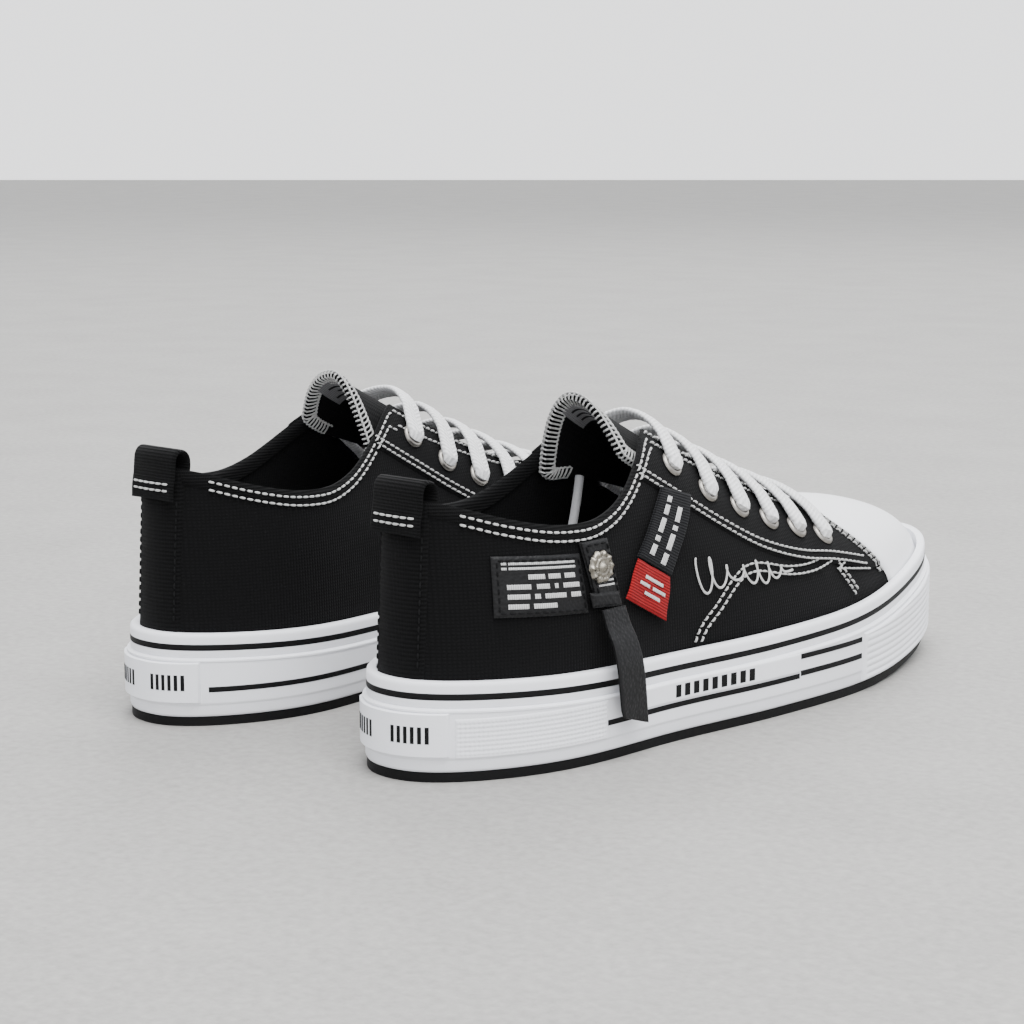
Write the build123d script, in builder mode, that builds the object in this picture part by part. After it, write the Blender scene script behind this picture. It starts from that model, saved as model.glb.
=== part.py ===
"""A pair of low canvas sneakers with a vulcanised style rubber sole, lying side by side.

Each piece is modelled once as it is on the right shoe, in the last's own frame, and is then
turned into place for the right shoe and mirrored for the left one.

Last frame, in millimetres: x points to the outer (lateral) side, y runs forward from the back
of the heel, and z is up from the ground.
Frame of the pair: +Z up, toes towards -Y, origin on the ground at the centre of the pair.
"""

from build123d import *
import math
import os

# ---- driving dimensions of the pair
LENGTH = 280.0  # heel to toe, over the rubber sidewall
SHOE_CENTRE_X = 52.3  # from the middle of the pair to each last's centre line
STAGGER = 6.6  # the left shoe stands this much further back

# ---- sole
TOE_SPRING = 7.0
SPRING_START = 0.62  # share of the length where the sole starts to rise
END_POWER, END_ROOT = 2.4, 2.2  # roundness of the heel and toe in plan
OUTSOLE_INSET = 1.0
OUTSOLE_THICK = 3.0
MIDSOLE_TOP = 12.5  # above the spring line, as are the other heights on the sole
FOXING_THICK = 3.5
BOARD_INSET, BOARD_THICK = 8.2, 1.6
SOCKLINER_INSET = 8.6
RAND_OUTER_INSET = 1.0
RAND_INNER_INSET = 4.4
RAND_TALL = 8.0
GROOVE_DEPTH = 0.8
GROOVE_TOP, GROOVE_LOW = 3.9, 5.2  # below the top of the rand
STRIPE_PROUD = 0.3
PANEL_PROUD = 0.5
LABEL_PROUD = 0.9
BUMPER_PROUD = 1.3
BUMPER_START = 186.0
LABEL_START, PANEL_START, PANEL_END = 9.0, 70.0, 149.0
LINE_START, LINE_LOW, LINE_HIGH = 59.0, 11.6, 13.2
UPPER_BAR_LOW, UPPER_BAR_HIGH = 18.2, 19.9
LOWER_BAR_LOW, LOWER_BAR_HIGH = 12.2, 13.8
PANEL_LOW, PANEL_HIGH = 13.4, 21.4
LABEL_LOW, LABEL_HIGH = 8.0, 21.8
BUMPER_LOW, BUMPER_DROP = 4.0, 1.5  # the bumper ends this far below the rand

# ---- upper
UPPER_INSET = 5.0
LEAN_RUN, LEAN_RISE, LEAN_FADE = 3.0, 55.0, 60.0  # the heel leans forward as it rises
LEAN_BASE = 30.0
WALL_BASE = 20.0  # below this the upper's wall is straight
FOOT_GAP = 0.15
FOOT_STEP = 2.0  # an inner surface of the last reaches lower than one outside it
CANVAS = 1.6
OVERLAY = 1.2
COUNTER = 1.0
BINDING_PROUD, BINDING_TALL, BINDING_LIP = 0.8, 5.2, 1.2
COLLAR_END = 88.5
BACKSTAY_HALF = 9.5
CLEAR = 0.3

# ---- eyelets and lace
EYELETS = 6
EYELET_START, EYELET_PITCH = 109.0, 14.8
FLANGE_RADIUS, BARREL_RADIUS, BORE_RADIUS = 4.4, 3.0, 2.6
FLANGE_THICK, FLANGE_GAP, BARREL_DEPTH = 0.7, 0.25, 2.0
HOLE_RADIUS = 3.1
LACE_WIDTH = 7.0
LACE_PLUG_RADIUS = 2.2
LACE_LOW, LACE_HIGH = 2.6, 4.8  # above the canvas
PLUG_LOW, PLUG_HIGH = 3.1, 4.0
LACE_OVERHANG = 1.0
UNDER_LACE_DEPTH, UNDER_LACE_RADIUS = 2.4, 0.7
LACE_END_RADIUS = 1.5

# ---- tongue
TONGUE_TOP_LAYER, TONGUE_THICK = -4.2, 2.0
TONGUE_HINGE_Y = 100.5
TONGUE_END = 194.0
TONGUE_TIP = 85.5
TONGUE_HALF = 19.0
TIP_HALF, TIP_LOW = 21.5, 84.0
FOLD_GAP = 0.6  # from the fold's line to each side of it

# ---- trim on the lateral side
BADGE_AT = (60.3, 60.6)  # (y, z)
BADGE_RADIUS, BADGE_THICK, BOSS_THICK = 5.2, 1.4, 1.2
TAIL_THICK = 1.6

WIDE = 70.0  # more than half the width of a shoe
TALL = 160.0  # more than the height of a last
EDGE_SPANS = 20  # along one edge of a side profile


def smooth(*knots):
    """A smooth function through (position, value) knots, level outside them."""
    last = len(knots) - 1
    slopes = []
    for i in range(last + 1):
        before, after = knots[max(i - 1, 0)], knots[min(i + 1, last)]
        slopes.append((after[1] - before[1]) / (after[0] - before[0]))

    def value(t):
        t = min(max(t, knots[0][0]), knots[-1][0])
        i = max(j for j in range(last) if knots[j][0] <= t)
        (start, low), (end, high) = knots[i], knots[i + 1]
        h = end - start
        u = (t - start) / h
        return (
            (1 + 2 * u) * (1 - u) ** 2 * low
            + u * (1 - u) ** 2 * h * slopes[i]
            + u * u * (3 - 2 * u) * high
            + u * u * (u - 1) * h * slopes[i + 1]
        )

    return value


# Half widths of the sole over the share of its length, before its ends are rounded.
LATERAL_WIDTH = smooth((0, 44), (0.14, 46), (0.32, 42), (0.5, 46.5), (0.68, 49.5), (0.84, 47), (1, 44))
MEDIAL_WIDTH = smooth((0, 42), (0.14, 43), (0.32, 33), (0.5, 36), (0.68, 46), (0.84, 46.5), (1, 43))
# Height of the rand's top over the sole's spring line, over the share of the length.
RAND_HEIGHT = smooth((0, 31), (0.3, 28.5), (0.6, 29.5), (0.85, 34), (1, 36))
# Height of the last's crest, and how square its cross-sections are, over y.
CREST = smooth(
    (0, 132), (60, 128), (95, 108), (130, 90), (165, 74.5), (200, 63), (235, 57), (255, 51), (268, 43),
    (275, 36)
)
SIDE_POWER = smooth((0, 0.8), (60, 0.9), (110, 1.05), (150, 1.15), (200, 1.15), (240, 0.95), (275, 0.75))
TOP_POWER = smooth((0, 1.0), (60, 1.0), (140, 0.95), (200, 0.85), (245, 0.72), (275, 0.62))
# Lines on the side of the upper, each a height over y.
COLLAR = smooth(
    (10, 84.4), (17, 82.4), (28, 78.8), (41, 75.7), (52, 74.5), (62, 74.8), (72, 77.7), (80, 82), (88, 87.6),
    (98, 94.6), (104, 97)
)
EYESTAY_LOW = smooth(
    (88, 85), (107.5, 73.9), (124.5, 63.9), (142.5, 54.8), (162.7, 48.5), (184, 44.8), (207, 39.6)
)
EYELET_LINE = smooth((109, 85.2), (123.8, 75.3), (153, 62.5), (183, 53.3))
SOCKLINER_TOP = smooth((0, 20.5), (60, 20), (110, 21.5), (170, 18.5), (280, 17.5))
THROAT_LATERAL = smooth((95, 13.5), (187, 17))
THROAT_MEDIAL = smooth((95, 10.5), (187, 13))
THROAT_END = 187.0

# Lines on the side of the upper as (y, z) points from the bottom up.
VAMP_SEAM = [
    (103, 8), (105, 20), (109.3, 30.8), (117.7, 37.8), (127.6, 45.2), (137, 47.2), (154, 43.8), (168.6, 43.1),
    (184, 44.8), (196, 50), (198, 56), (196, 64), (195, 80)
]
CAP_EDGE = [
    (221, 24), (218, 35), (214.4, 39.8), (207.5, 46.8), (201.4, 52.5), (197, 57.4), (194.5, 63), (193, 80)
]


def spring(y):
    """How far the sole has risen from the ground at y."""
    return TOE_SPRING * max((y / LENGTH - SPRING_START) / (1 - SPRING_START), 0) ** 2


def rand_top(y):
    return RAND_HEIGHT(y / LENGTH) + spring(min(max(y, 0), LENGTH))


def half_width(y, side, inset):
    """Half width at y of the outline drawn in by inset; side is 1 for lateral and -1 for medial."""
    share = min(max((y - inset) / (LENGTH - 2 * inset), 0), 1)
    width = LATERAL_WIDTH if side > 0 else MEDIAL_WIDTH
    roundness = (1 - abs(2 * share - 1) ** END_POWER) ** (1 / END_ROOT)
    return (width(min(max(y / LENGTH, 0), 1)) - inset) * roundness


def station(share, inset):
    """A y between the outline's ends, with stations crowding towards both."""
    return inset + (LENGTH - 2 * inset) * (1 - math.cos(math.pi * share)) / 2


def plan(inset, count=18):
    """The sole's outline, drawn in by inset, as a face."""
    rows = [station(i / count, inset) for i in range(count + 1)]
    points = [(half_width(y, 1, inset), y) for y in rows]
    points += [(-half_width(y, -1, inset), y) for y in rows[-2:0:-1]]
    with BuildSketch() as outline:
        with BuildLine():
            Spline(*points, periodic=True)
        make_face()
    return outline.sketch


def slab(outer, inner=None):
    """A tall plate with the outline drawn in by outer, or a ring if inner is given."""
    with BuildPart() as plate:
        with BuildSketch():
            add(plan(outer))
            if inner is not None:
                add(plan(inner), mode=Mode.SUBTRACT)
        extrude(amount=TALL)
    return plate.part


def side_block(points, reach=(-WIDE, WIDE)):
    """A block with a side profile of (y, z) points and the given reach in x."""
    with BuildPart() as block:
        with BuildSketch(Plane.YZ.offset(reach[0])):
            with BuildLine():
                Polyline(*points, close=True)
            make_face()
        extrude(amount=reach[1] - reach[0])
    return block.part


def side_edge(height, start, stop):
    """One edge of a side profile, which is a straight line where the height is level."""
    rows = [start + (stop - start) * i / EDGE_SPANS for i in range(EDGE_SPANS + 1)]
    points = [(y, height(y)) for y in rows]
    heights = [z for _, z in points]
    if max(heights) - min(heights) < 1e-6:
        Line(points[0], points[-1])
    else:
        Spline(*points)


def band(low, high, start=-20.0, stop=LENGTH + 20, reach=(-WIDE, WIDE)):
    """The space between two height functions of y."""
    rise = SPRING_START * LENGTH
    spans = [(start, rise), (rise, stop)] if start < rise < stop else [(start, stop)]
    with BuildPart() as space:
        with BuildSketch(Plane.YZ.offset(reach[0])):
            with BuildLine():
                for span in spans:
                    side_edge(low, *span)
                    side_edge(high, *span)
                for end in (start, stop):
                    Line((end, low(end)), (end, high(end)))
            make_face()
        extrude(amount=reach[1] - reach[0])
    return space.part


def ahead_of(line):
    """The space forward of a side line of (y, z) points."""
    front = LENGTH + 20
    with BuildPart() as space:
        with BuildSketch(Plane.YZ.offset(-WIDE)):
            with BuildLine():
                edge = Spline(*line)
                Polyline(edge @ 1, (line[-1][0], TALL), (front, TALL), (front, 0), (line[0][0], 0), edge @ 0)
            make_face()
        extrude(amount=2 * WIDE)
    return space.part


# ---- the last, as sections that lean forward at the heel
def lean(y):
    return LEAN_RUN / LEAN_RISE * max(1 - y / LEAN_FADE, 0)


def last_point(y, turn, side, out):
    """(x, z) of the last's section y, at turn degrees from its base to its crest, out from the canvas."""
    base = WALL_BASE + 0.9 * spring(y)
    across, up = math.cos(math.radians(turn)), math.sin(math.radians(turn))
    x = side * half_width(y, side, UPPER_INSET - out) * max(across, 0) ** SIDE_POWER(y)
    return x, base + (CREST(y) + out - base) * up ** TOP_POWER(y)


def section_at(y, z):
    """The section whose leaning plane holds the point (y, z)."""
    push = LEAN_RUN * (z - LEAN_BASE) / LEAN_RISE
    return (y - push) / (1 - push / LEAN_FADE) if y < LEAN_FADE else y


def surface(y, z, side, out):
    """The point of the last's surface at (y, z) on one side, out from the canvas."""
    row = section_at(y, z)
    base = WALL_BASE + 0.9 * spring(row)
    rise = min(max((z - base) / (CREST(row) + out - base), 0), 1)
    up = rise ** (1 / TOP_POWER(row))
    x = side * half_width(row, side, UPPER_INSET - out) * max(1 - up * up, 0) ** (SIDE_POWER(row) / 2)
    return Vector(x, y, z)


def surface_plane(y, z, side, out):
    """A plane on the surface with its normal outwards and its x axis forward."""
    step = 0.5
    along = surface(y + step, z, side, out) - surface(y - step, z, side, out)
    upward = surface(y, z + step, side, out) - surface(y, z - step, side, out)
    normal = along.cross(upward).normalized() * side
    return Plane(origin=surface(y, z, side, out), x_dir=along, z_dir=normal)


def last(out, count=16):
    """The last as a solid, with its surface out from the canvas's outer face."""
    turns = range(0, 90, 10)
    points = 2 * len(turns) + 1
    shares = [i / (points - 1) for i in range(points)]  # alike in every section, for a light surface
    with BuildPart() as solid:
        for i in range(count + 1):
            y = station(0.03 + 0.94 * i / count, UPPER_INSET - out)
            tilt = math.atan(lean(y))
            outline = [last_point(y, a, 1, out) for a in turns]
            outline += [last_point(y, 90, 1, out)]
            outline += [last_point(y, a, -1, out) for a in reversed(turns)]
            outline = [(x, (z - LEAN_BASE) / math.cos(tilt)) for x, z in outline]
            foot = (MIDSOLE_TOP + FOOT_GAP + spring(y) + FOOT_STEP * out - LEAN_BASE) / math.cos(tilt)
            leaning = Plane(
                origin=(0, y, LEAN_BASE), x_dir=(1, 0, 0), z_dir=(0, -math.cos(tilt), math.sin(tilt))
            )
            with BuildSketch(leaning):
                with BuildLine():
                    add(Edge.make_spline(outline, parameters=shares))
                    Polyline(outline[-1], (outline[-1][0], foot), (outline[0][0], foot), outline[0])
                make_face()
        loft()
    return solid.part


def layer(outer, inner):
    """The skin between two surfaces of the last."""
    return lasts[outer] - lasts[inner]


DEEP = -CANVAS - COUNTER
STRAP_LAYER = OVERLAY + 1.4
TAG_LOW, TAG_HIGH = 2.0, 3.2
TONGUE_LOW = TONGUE_TOP_LAYER - TONGUE_THICK
BINDING_INNER = -CANVAS - BINDING_PROUD
depths = [0, -CANVAS, DEEP, OVERLAY, STRAP_LAYER, TAG_LOW, TAG_HIGH]
depths += [TONGUE_TOP_LAYER, TONGUE_LOW, BINDING_PROUD, BINDING_INNER]
lasts = {out: last(out) for out in depths}
canvas_skin = layer(0, -CANVAS)
overlay_skin = layer(OVERLAY, 0)
tag_skin = layer(TAG_HIGH, TAG_LOW)
tongue_skin = layer(TONGUE_TOP_LAYER, TONGUE_LOW)

eyelet_rows = [EYELET_START + EYELET_PITCH * i for i in range(EYELETS)]
eyelet_planes = [
    surface_plane(y, EYELET_LINE(y), side, 0) for y in eyelet_rows for side in (1, -1)
]


def throat():
    """The opening between the two eyestays, open at the ankle and round at the vamp."""
    rows = [90 + (THROAT_END - 12 - 90) * i / 6 for i in range(7)]
    outline = [(THROAT_LATERAL(y), y) for y in rows]
    outline += [(12.5, THROAT_END - 3.5), (2, THROAT_END), (-9, THROAT_END - 3.5)]
    outline += [(-THROAT_MEDIAL(y), y) for y in reversed(rows)]
    with BuildPart() as opening:
        with BuildSketch(Plane.XY.offset(40)):
            with BuildLine():
                edge = Spline(*outline)
                Line(edge @ 0, edge @ 1)
            make_face()
        extrude(amount=TALL)
    return opening.part


def eyelet_pins(radius):
    """Pins of that radius where the eyelets go."""
    with BuildPart() as pins:
        for plane in eyelet_planes:
            with BuildSketch(plane.offset(-4)):
                Circle(radius)
            extrude(amount=8)
    return pins.part


def below_collar(drop):
    """What lies under the collar's line, and everything forward of it."""
    rows = [3 + (104 - 3) * i / EDGE_SPANS for i in range(EDGE_SPANS + 1)]
    front = LENGTH + 20
    with BuildPart() as space:
        with BuildSketch(Plane.YZ.offset(-WIDE)):
            with BuildLine():
                edge = Spline((-20, COLLAR(10) - drop), *[(y, COLLAR(y) - drop) for y in rows])
                Polyline(edge @ 1, (110, TALL), (front, TALL), (front, 0), (-20, 0), edge @ 0)
            make_face()
        extrude(amount=2 * WIDE)
    return space.part


# ---- sole pieces
with BuildPart() as outsole:
    add(slab(OUTSOLE_INSET))
    add(band(spring, lambda y: spring(y) + OUTSOLE_THICK), mode=Mode.INTERSECT)

with BuildPart() as midsole:
    add(slab(FOXING_THICK))
    filling = band(lambda y: spring(y) + OUTSOLE_THICK, lambda y: spring(y) + MIDSOLE_TOP)
    add(filling, mode=Mode.INTERSECT)

with BuildPart() as foxing:
    add(slab(0, FOXING_THICK))
    wall = band(lambda y: spring(y) + OUTSOLE_THICK, lambda y: rand_top(y) - RAND_TALL)
    add(wall, mode=Mode.INTERSECT)

with BuildPart() as groove_ring:
    add(slab(RAND_OUTER_INSET, RAND_OUTER_INSET + GROOVE_DEPTH))
    groove = band(lambda y: rand_top(y) - GROOVE_LOW, lambda y: rand_top(y) - GROOVE_TOP)
    add(groove, mode=Mode.INTERSECT)

with BuildPart() as rand:
    add(slab(RAND_OUTER_INSET, RAND_INNER_INSET))
    add(band(lambda y: rand_top(y) - RAND_TALL, rand_top), mode=Mode.INTERSECT)
    add(groove_ring.part, mode=Mode.SUBTRACT)


def sidewall_strip(proud, low, high, start, stop, sides=(-WIDE, WIDE)):
    """A strip lying on the sidewall between two heights above the sole's spring line."""
    with BuildPart() as strip:
        add(slab(-proud, 0))
        height = band(lambda y: spring(y) + low, lambda y: spring(y) + high, start, stop, sides)
        add(height, mode=Mode.INTERSECT)
    return strip.part


bars_start, bars_end = PANEL_END + 0.5, BUMPER_START - 1
lateral_line = sidewall_strip(STRIPE_PROUD, LINE_LOW, LINE_HIGH, LINE_START, PANEL_END, (0, WIDE))
upper_bar = sidewall_strip(STRIPE_PROUD, UPPER_BAR_LOW, UPPER_BAR_HIGH, bars_start, bars_end, (0, WIDE))
lower_bar = sidewall_strip(STRIPE_PROUD, LOWER_BAR_LOW, LOWER_BAR_HIGH, bars_start, bars_end, (0, WIDE))
medial_line = sidewall_strip(STRIPE_PROUD, LINE_LOW, LINE_HIGH, LABEL_START + 2, bars_end, (-WIDE, 0))
with BuildPart() as sole_stripes:
    for stripe in (groove_ring.part, lateral_line, upper_bar, lower_bar, medial_line):
        add(stripe)

with BuildPart() as side_panel:
    add(sidewall_strip(PANEL_PROUD, PANEL_LOW, PANEL_HIGH, PANEL_START, PANEL_END, (0, WIDE)))

with BuildPart() as heel_label:
    add(sidewall_strip(LABEL_PROUD, LABEL_LOW, LABEL_HIGH, -10, LABEL_START))

with BuildPart() as toe_bumper:
    add(slab(-BUMPER_PROUD, 0))
    ribs_low, ribs_high = lambda y: spring(y) + BUMPER_LOW, lambda y: rand_top(y) - RAND_TALL - BUMPER_DROP
    height = band(ribs_low, ribs_high, start=BUMPER_START)
    add(height, mode=Mode.INTERSECT)

with BuildPart() as insole_board:
    add(slab(BOARD_INSET))
    height = band(lambda y: spring(y) + MIDSOLE_TOP, lambda y: spring(y) + MIDSOLE_TOP + BOARD_THICK)
    add(height, mode=Mode.INTERSECT)

with BuildPart() as sockliner:
    add(slab(SOCKLINER_INSET))
    board_top = MIDSOLE_TOP + BOARD_THICK
    height = band(lambda y: spring(y) + board_top, lambda y: SOCKLINER_TOP(y) + spring(y))
    add(height, mode=Mode.INTERSECT)

# ---- canvas upper
with BuildPart() as canvas:
    add(canvas_skin)
    add(below_collar(BINDING_LIP), mode=Mode.INTERSECT)
    add(throat(), mode=Mode.SUBTRACT)
    add(eyelet_pins(HOLE_RADIUS), mode=Mode.SUBTRACT)

with BuildPart() as vamp:
    add(canvas.part)
    add(ahead_of(VAMP_SEAM), mode=Mode.INTERSECT)

with BuildPart() as quarters:
    add(canvas.part)
    add(ahead_of(VAMP_SEAM), mode=Mode.SUBTRACT)

with BuildPart() as lateral_quarter:
    add(quarters.part)
    split(bisect_by=Plane.YZ, keep=Keep.TOP)

with BuildPart() as medial_quarter:
    add(quarters.part)
    split(bisect_by=Plane.YZ, keep=Keep.BOTTOM)

above_rand = band(lambda y: rand_top(y) + CLEAR, lambda y: TALL)

with BuildPart() as toe_cap:
    add(overlay_skin)
    add(ahead_of(CAP_EDGE), mode=Mode.INTERSECT)
    add(above_rand, mode=Mode.INTERSECT)

# The two eyestays end apart from each other ahead of the throat.
gap_start = THROAT_END - 6
gap_ahead = side_block([(gap_start, 40), (LENGTH, 40), (LENGTH, TALL), (gap_start, TALL)], (-9, 12.5))

with BuildPart() as eyestays:
    add(overlay_skin)
    add(below_collar(0), mode=Mode.INTERSECT)
    add(band(EYESTAY_LOW, lambda y: TALL, COLLAR_END + 0.5, LENGTH), mode=Mode.INTERSECT)
    add(ahead_of([(y - CLEAR, z) for y, z in CAP_EDGE]), mode=Mode.SUBTRACT)
    add(throat(), mode=Mode.SUBTRACT)
    add(gap_ahead, mode=Mode.SUBTRACT)
    add(eyelet_pins(HOLE_RADIUS), mode=Mode.SUBTRACT)

with BuildPart() as collar_binding:
    add(layer(BINDING_PROUD, BINDING_INNER))
    add(band(lambda y: COLLAR(y) - BINDING_TALL, COLLAR, -5, COLLAR_END), mode=Mode.INTERSECT)
    add(canvas.part, mode=Mode.SUBTRACT)

with BuildPart() as heel_counter:
    add(layer(-CANVAS, DEEP))
    add(band(lambda y: MIDSOLE_TOP + 0.2, lambda y: 66 - 0.3 * y, -5, 62), mode=Mode.INTERSECT)

# ---- heel webbing: the sewn strip and, above the collar, the free loop
LOOP_Y, LOOP_Z = 9.1, 86.4
LOOP_OUTER, LOOP_INNER = 3.4, 2.2
LOOP_HALF = 10.0
LEG_TOP, LEG_LOW, LOOP_LOW = 84.2, 75.5, 85.8

with BuildPart() as backstay:
    add(overlay_skin)
    height = band(lambda y: rand_top(y) + CLEAR, lambda y: COLLAR(10) - BINDING_TALL - CLEAR, -5, 60)
    add(height, mode=Mode.INTERSECT)
    with BuildSketch():
        with Locations((0, 20)):
            Rectangle(2 * BACKSTAY_HALF, 80)
    extrude(amount=TALL, mode=Mode.INTERSECT)
    leg = [(LOOP_Y - LOOP_OUTER, LEG_LOW), (LOOP_Y - LOOP_INNER, LEG_LOW)]
    leg += [(LOOP_Y - LOOP_INNER, LEG_TOP), (LOOP_Y - LOOP_OUTER, LEG_TOP)]
    add(side_block(leg, (-LOOP_HALF, LOOP_HALF)))

with BuildPart() as pull_loop:
    with BuildSketch(Plane.YZ.offset(-LOOP_HALF)):
        with Locations((LOOP_Y, LOOP_Z + 0.6)):
            Circle(LOOP_OUTER)
            Circle(LOOP_INNER, mode=Mode.SUBTRACT)
            Rectangle(20, 20, align=(Align.CENTER, Align.MAX), mode=Mode.SUBTRACT)
        for middle in (LOOP_Y - (LOOP_OUTER + LOOP_INNER) / 2, LOOP_Y + (LOOP_OUTER + LOOP_INNER) / 2):
            with Locations((middle, LOOP_LOW)):
                Rectangle(
                    LOOP_OUTER - LOOP_INNER, LOOP_Z + 0.6 - LOOP_LOW, align=(Align.CENTER, Align.MIN)
                )
    extrude(amount=2 * LOOP_HALF)

# ---- tongue
hinge_z = CREST(TONGUE_HINGE_Y) + TONGUE_TOP_LAYER


def along_tongue(start, stop):
    """The space between two planes square to the tongue's crest, measured from its fold."""
    crest_slope = (CREST(TONGUE_HINGE_Y + 4) - CREST(TONGUE_HINGE_Y - 4)) / 8
    across = math.atan(crest_slope)
    origin = Vector(0, TONGUE_HINGE_Y, hinge_z)
    plane = Plane(origin=origin, x_dir=(1, 0, 0), z_dir=(0, math.cos(across), math.sin(across)))
    with BuildPart() as space:
        with BuildSketch(plane.offset(start)):
            Rectangle(2 * WIDE, 2 * WIDE)
        extrude(amount=stop - start)
    return space.part


with BuildPart() as tongue:
    add(tongue_skin)
    add(along_tongue(FOLD_GAP, TALL), mode=Mode.INTERSECT)
    width = band(lambda y: 40, lambda y: TALL, 60, TONGUE_END, (-TONGUE_HALF + 2, TONGUE_HALF))
    add(width, mode=Mode.INTERSECT)

with BuildPart() as tongue_top:
    add(tongue_skin)
    add(along_tongue(-60, -FOLD_GAP), mode=Mode.INTERSECT)
    tip = [(TONGUE_TIP, TIP_LOW), (140, TIP_LOW), (140, TALL), (TONGUE_TIP, TALL)]
    add(side_block(tip, (-TIP_HALF, TIP_HALF)), mode=Mode.INTERSECT)

# ---- eyelets: a rolled flange and a barrel through the canvas
with BuildPart() as eyelets:
    for plane in eyelet_planes:
        with BuildSketch(plane.offset(OVERLAY + FLANGE_GAP)):
            Circle(FLANGE_RADIUS)
            Circle(BORE_RADIUS, mode=Mode.SUBTRACT)
        extrude(amount=FLANGE_THICK)
        with BuildSketch(plane.offset(-BARREL_DEPTH)):
            Circle(BARREL_RADIUS)
            Circle(BORE_RADIUS, mode=Mode.SUBTRACT)
        extrude(amount=BARREL_DEPTH + OVERLAY + FLANGE_GAP)


# ---- lace: straight bars over the throat, joined below the eyestays from eyelet to eyelet
def crest_of_bar(eyelet_y):
    """y of the crest point whose square section passes through the lateral eyelet."""
    y = eyelet_y
    for _ in range(12):
        slope = (CREST(y + 1) - CREST(y - 1)) / 2
        y = eyelet_y - slope * (CREST(y) - EYELET_LINE(eyelet_y)) * 0.95
    return y


def bar_point(crest_y, turn, side, out):
    """Point of a bar's own plane on the surface of the last, as (across, up) in that plane."""
    slope = (CREST(crest_y + 1) - CREST(crest_y - 1)) / 2
    size = math.hypot(1, slope)
    low, high = crest_y - 50, crest_y + 20
    for _ in range(40):
        y = (low + high) / 2
        x, z = last_point(y, turn, side, out)
        if (y - crest_y) + (z - CREST(crest_y)) * slope > 0:
            high = y
        else:
            low = y
    return x, ((z - CREST(crest_y)) - (y - crest_y) * slope) / size


def lace_bar(eyelet_y):
    crest_y = crest_of_bar(eyelet_y)
    slope = (CREST(crest_y + 1) - CREST(crest_y - 1)) / 2
    crest = (0, crest_y, CREST(crest_y))
    plane = Plane(origin=crest, x_dir=(1, 0, 0), z_dir=(0, -1, -slope))
    rim = {}
    for side in (1, -1):
        eyelet = surface(eyelet_y, EYELET_LINE(eyelet_y), side, 0)
        rim[side] = abs(eyelet.X)
    rows = {}
    for out in (LACE_LOW, LACE_HIGH):
        points = []
        for side in (1, -1):
            end, high_turn = 5.0, 90.0
            for _ in range(30):
                turn = (end + high_turn) / 2
                if abs(bar_point(crest_y, turn, side, out)[0]) > rim[side] + LACE_OVERHANG:
                    end = turn
                else:
                    high_turn = turn
            turns = [90 - (90 - end) * i / 7 for i in range(8)]
            points.append([bar_point(crest_y, turn, side, out) for turn in turns])
        rows[out] = list(reversed(points[0])) + points[1][1:]
    low, high = rows[LACE_LOW], rows[LACE_HIGH]
    with BuildPart() as bar:
        with BuildSketch(plane):
            with BuildLine():
                inner = Spline(*low)
                outer = Spline(*high)
                Line(inner @ 0, outer @ 0)
                Line(inner @ 1, outer @ 1)
            make_face()
        extrude(amount=LACE_WIDTH / 2, both=True)
    return bar.part


def rod(start, end, radius):
    """A round rod between two points."""
    run = end - start
    with BuildPart() as made:
        with BuildSketch(Plane(origin=start, z_dir=run)):
            Circle(radius)
        extrude(amount=run.length)
    return made.part


def under(i, side):
    """Where the lace turns below the eyelet i."""
    y = eyelet_rows[i]
    plane = surface_plane(y, EYELET_LINE(y), side, 0)
    return plane.origin - plane.z_dir * UNDER_LACE_DEPTH


with BuildPart() as lace:
    for i, y in enumerate(eyelet_rows):
        add(lace_bar(y))
        for side in (1, -1):
            plane = surface_plane(y, EYELET_LINE(y), side, 0)
            bottom, top = plane.origin - plane.z_dir * PLUG_LOW, plane.origin + plane.z_dir * PLUG_HIGH
            add(rod(bottom, top, LACE_PLUG_RADIUS))
    for i in range(EYELETS - 1):
        side = 1 if i % 2 == 0 else -1
        add(rod(under(i, side), under(i + 1, side), UNDER_LACE_RADIUS))

# ---- trim on the lateral side, with its outlines as (y, z) corners
PATCH = [(23.6, 48.8), (55.6, 46.8), (53.4, 65.4), (23.6, 67.4)]
STRAP = [(58.6, 48.6), (69.4, 48.0), (64.9, 68.8), (53.6, 68.6)]
TAG = [(78.6, 61.2), (93.2, 53.2), (111.6, 76.4), (97.4, 80.6)]
RED_TAG = [(70.9, 49.2), (89.3, 39.3), (92.8, 52.8), (78.3, 60.7)]

with BuildPart() as side_patch:
    add(overlay_skin)
    add(side_block(PATCH, (0, WIDE)), mode=Mode.INTERSECT)
    add(side_block(STRAP, (0, WIDE)), mode=Mode.SUBTRACT)

with BuildPart() as strap_anchor:
    add(layer(STRAP_LAYER, 0))
    add(side_block(STRAP, (0, WIDE)), mode=Mode.INTERSECT)

with BuildPart() as badge:
    badge_plane = surface_plane(*BADGE_AT, 1, STRAP_LAYER)
    with BuildSketch(badge_plane.offset(0.15)):
        Circle(BADGE_RADIUS)
    extrude(amount=BADGE_THICK)
    with BuildSketch(badge_plane.offset(0.15 + BADGE_THICK)):
        Circle(BADGE_RADIUS * 0.6)
    extrude(amount=BOSS_THICK, taper=20)

with BuildPart() as black_tag:
    add(tag_skin)
    add(side_block(TAG, (0, WIDE)), mode=Mode.INTERSECT)

with BuildPart() as red_tag:
    add(tag_skin)
    add(side_block(RED_TAG, (0, WIDE)), mode=Mode.INTERSECT)

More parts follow.
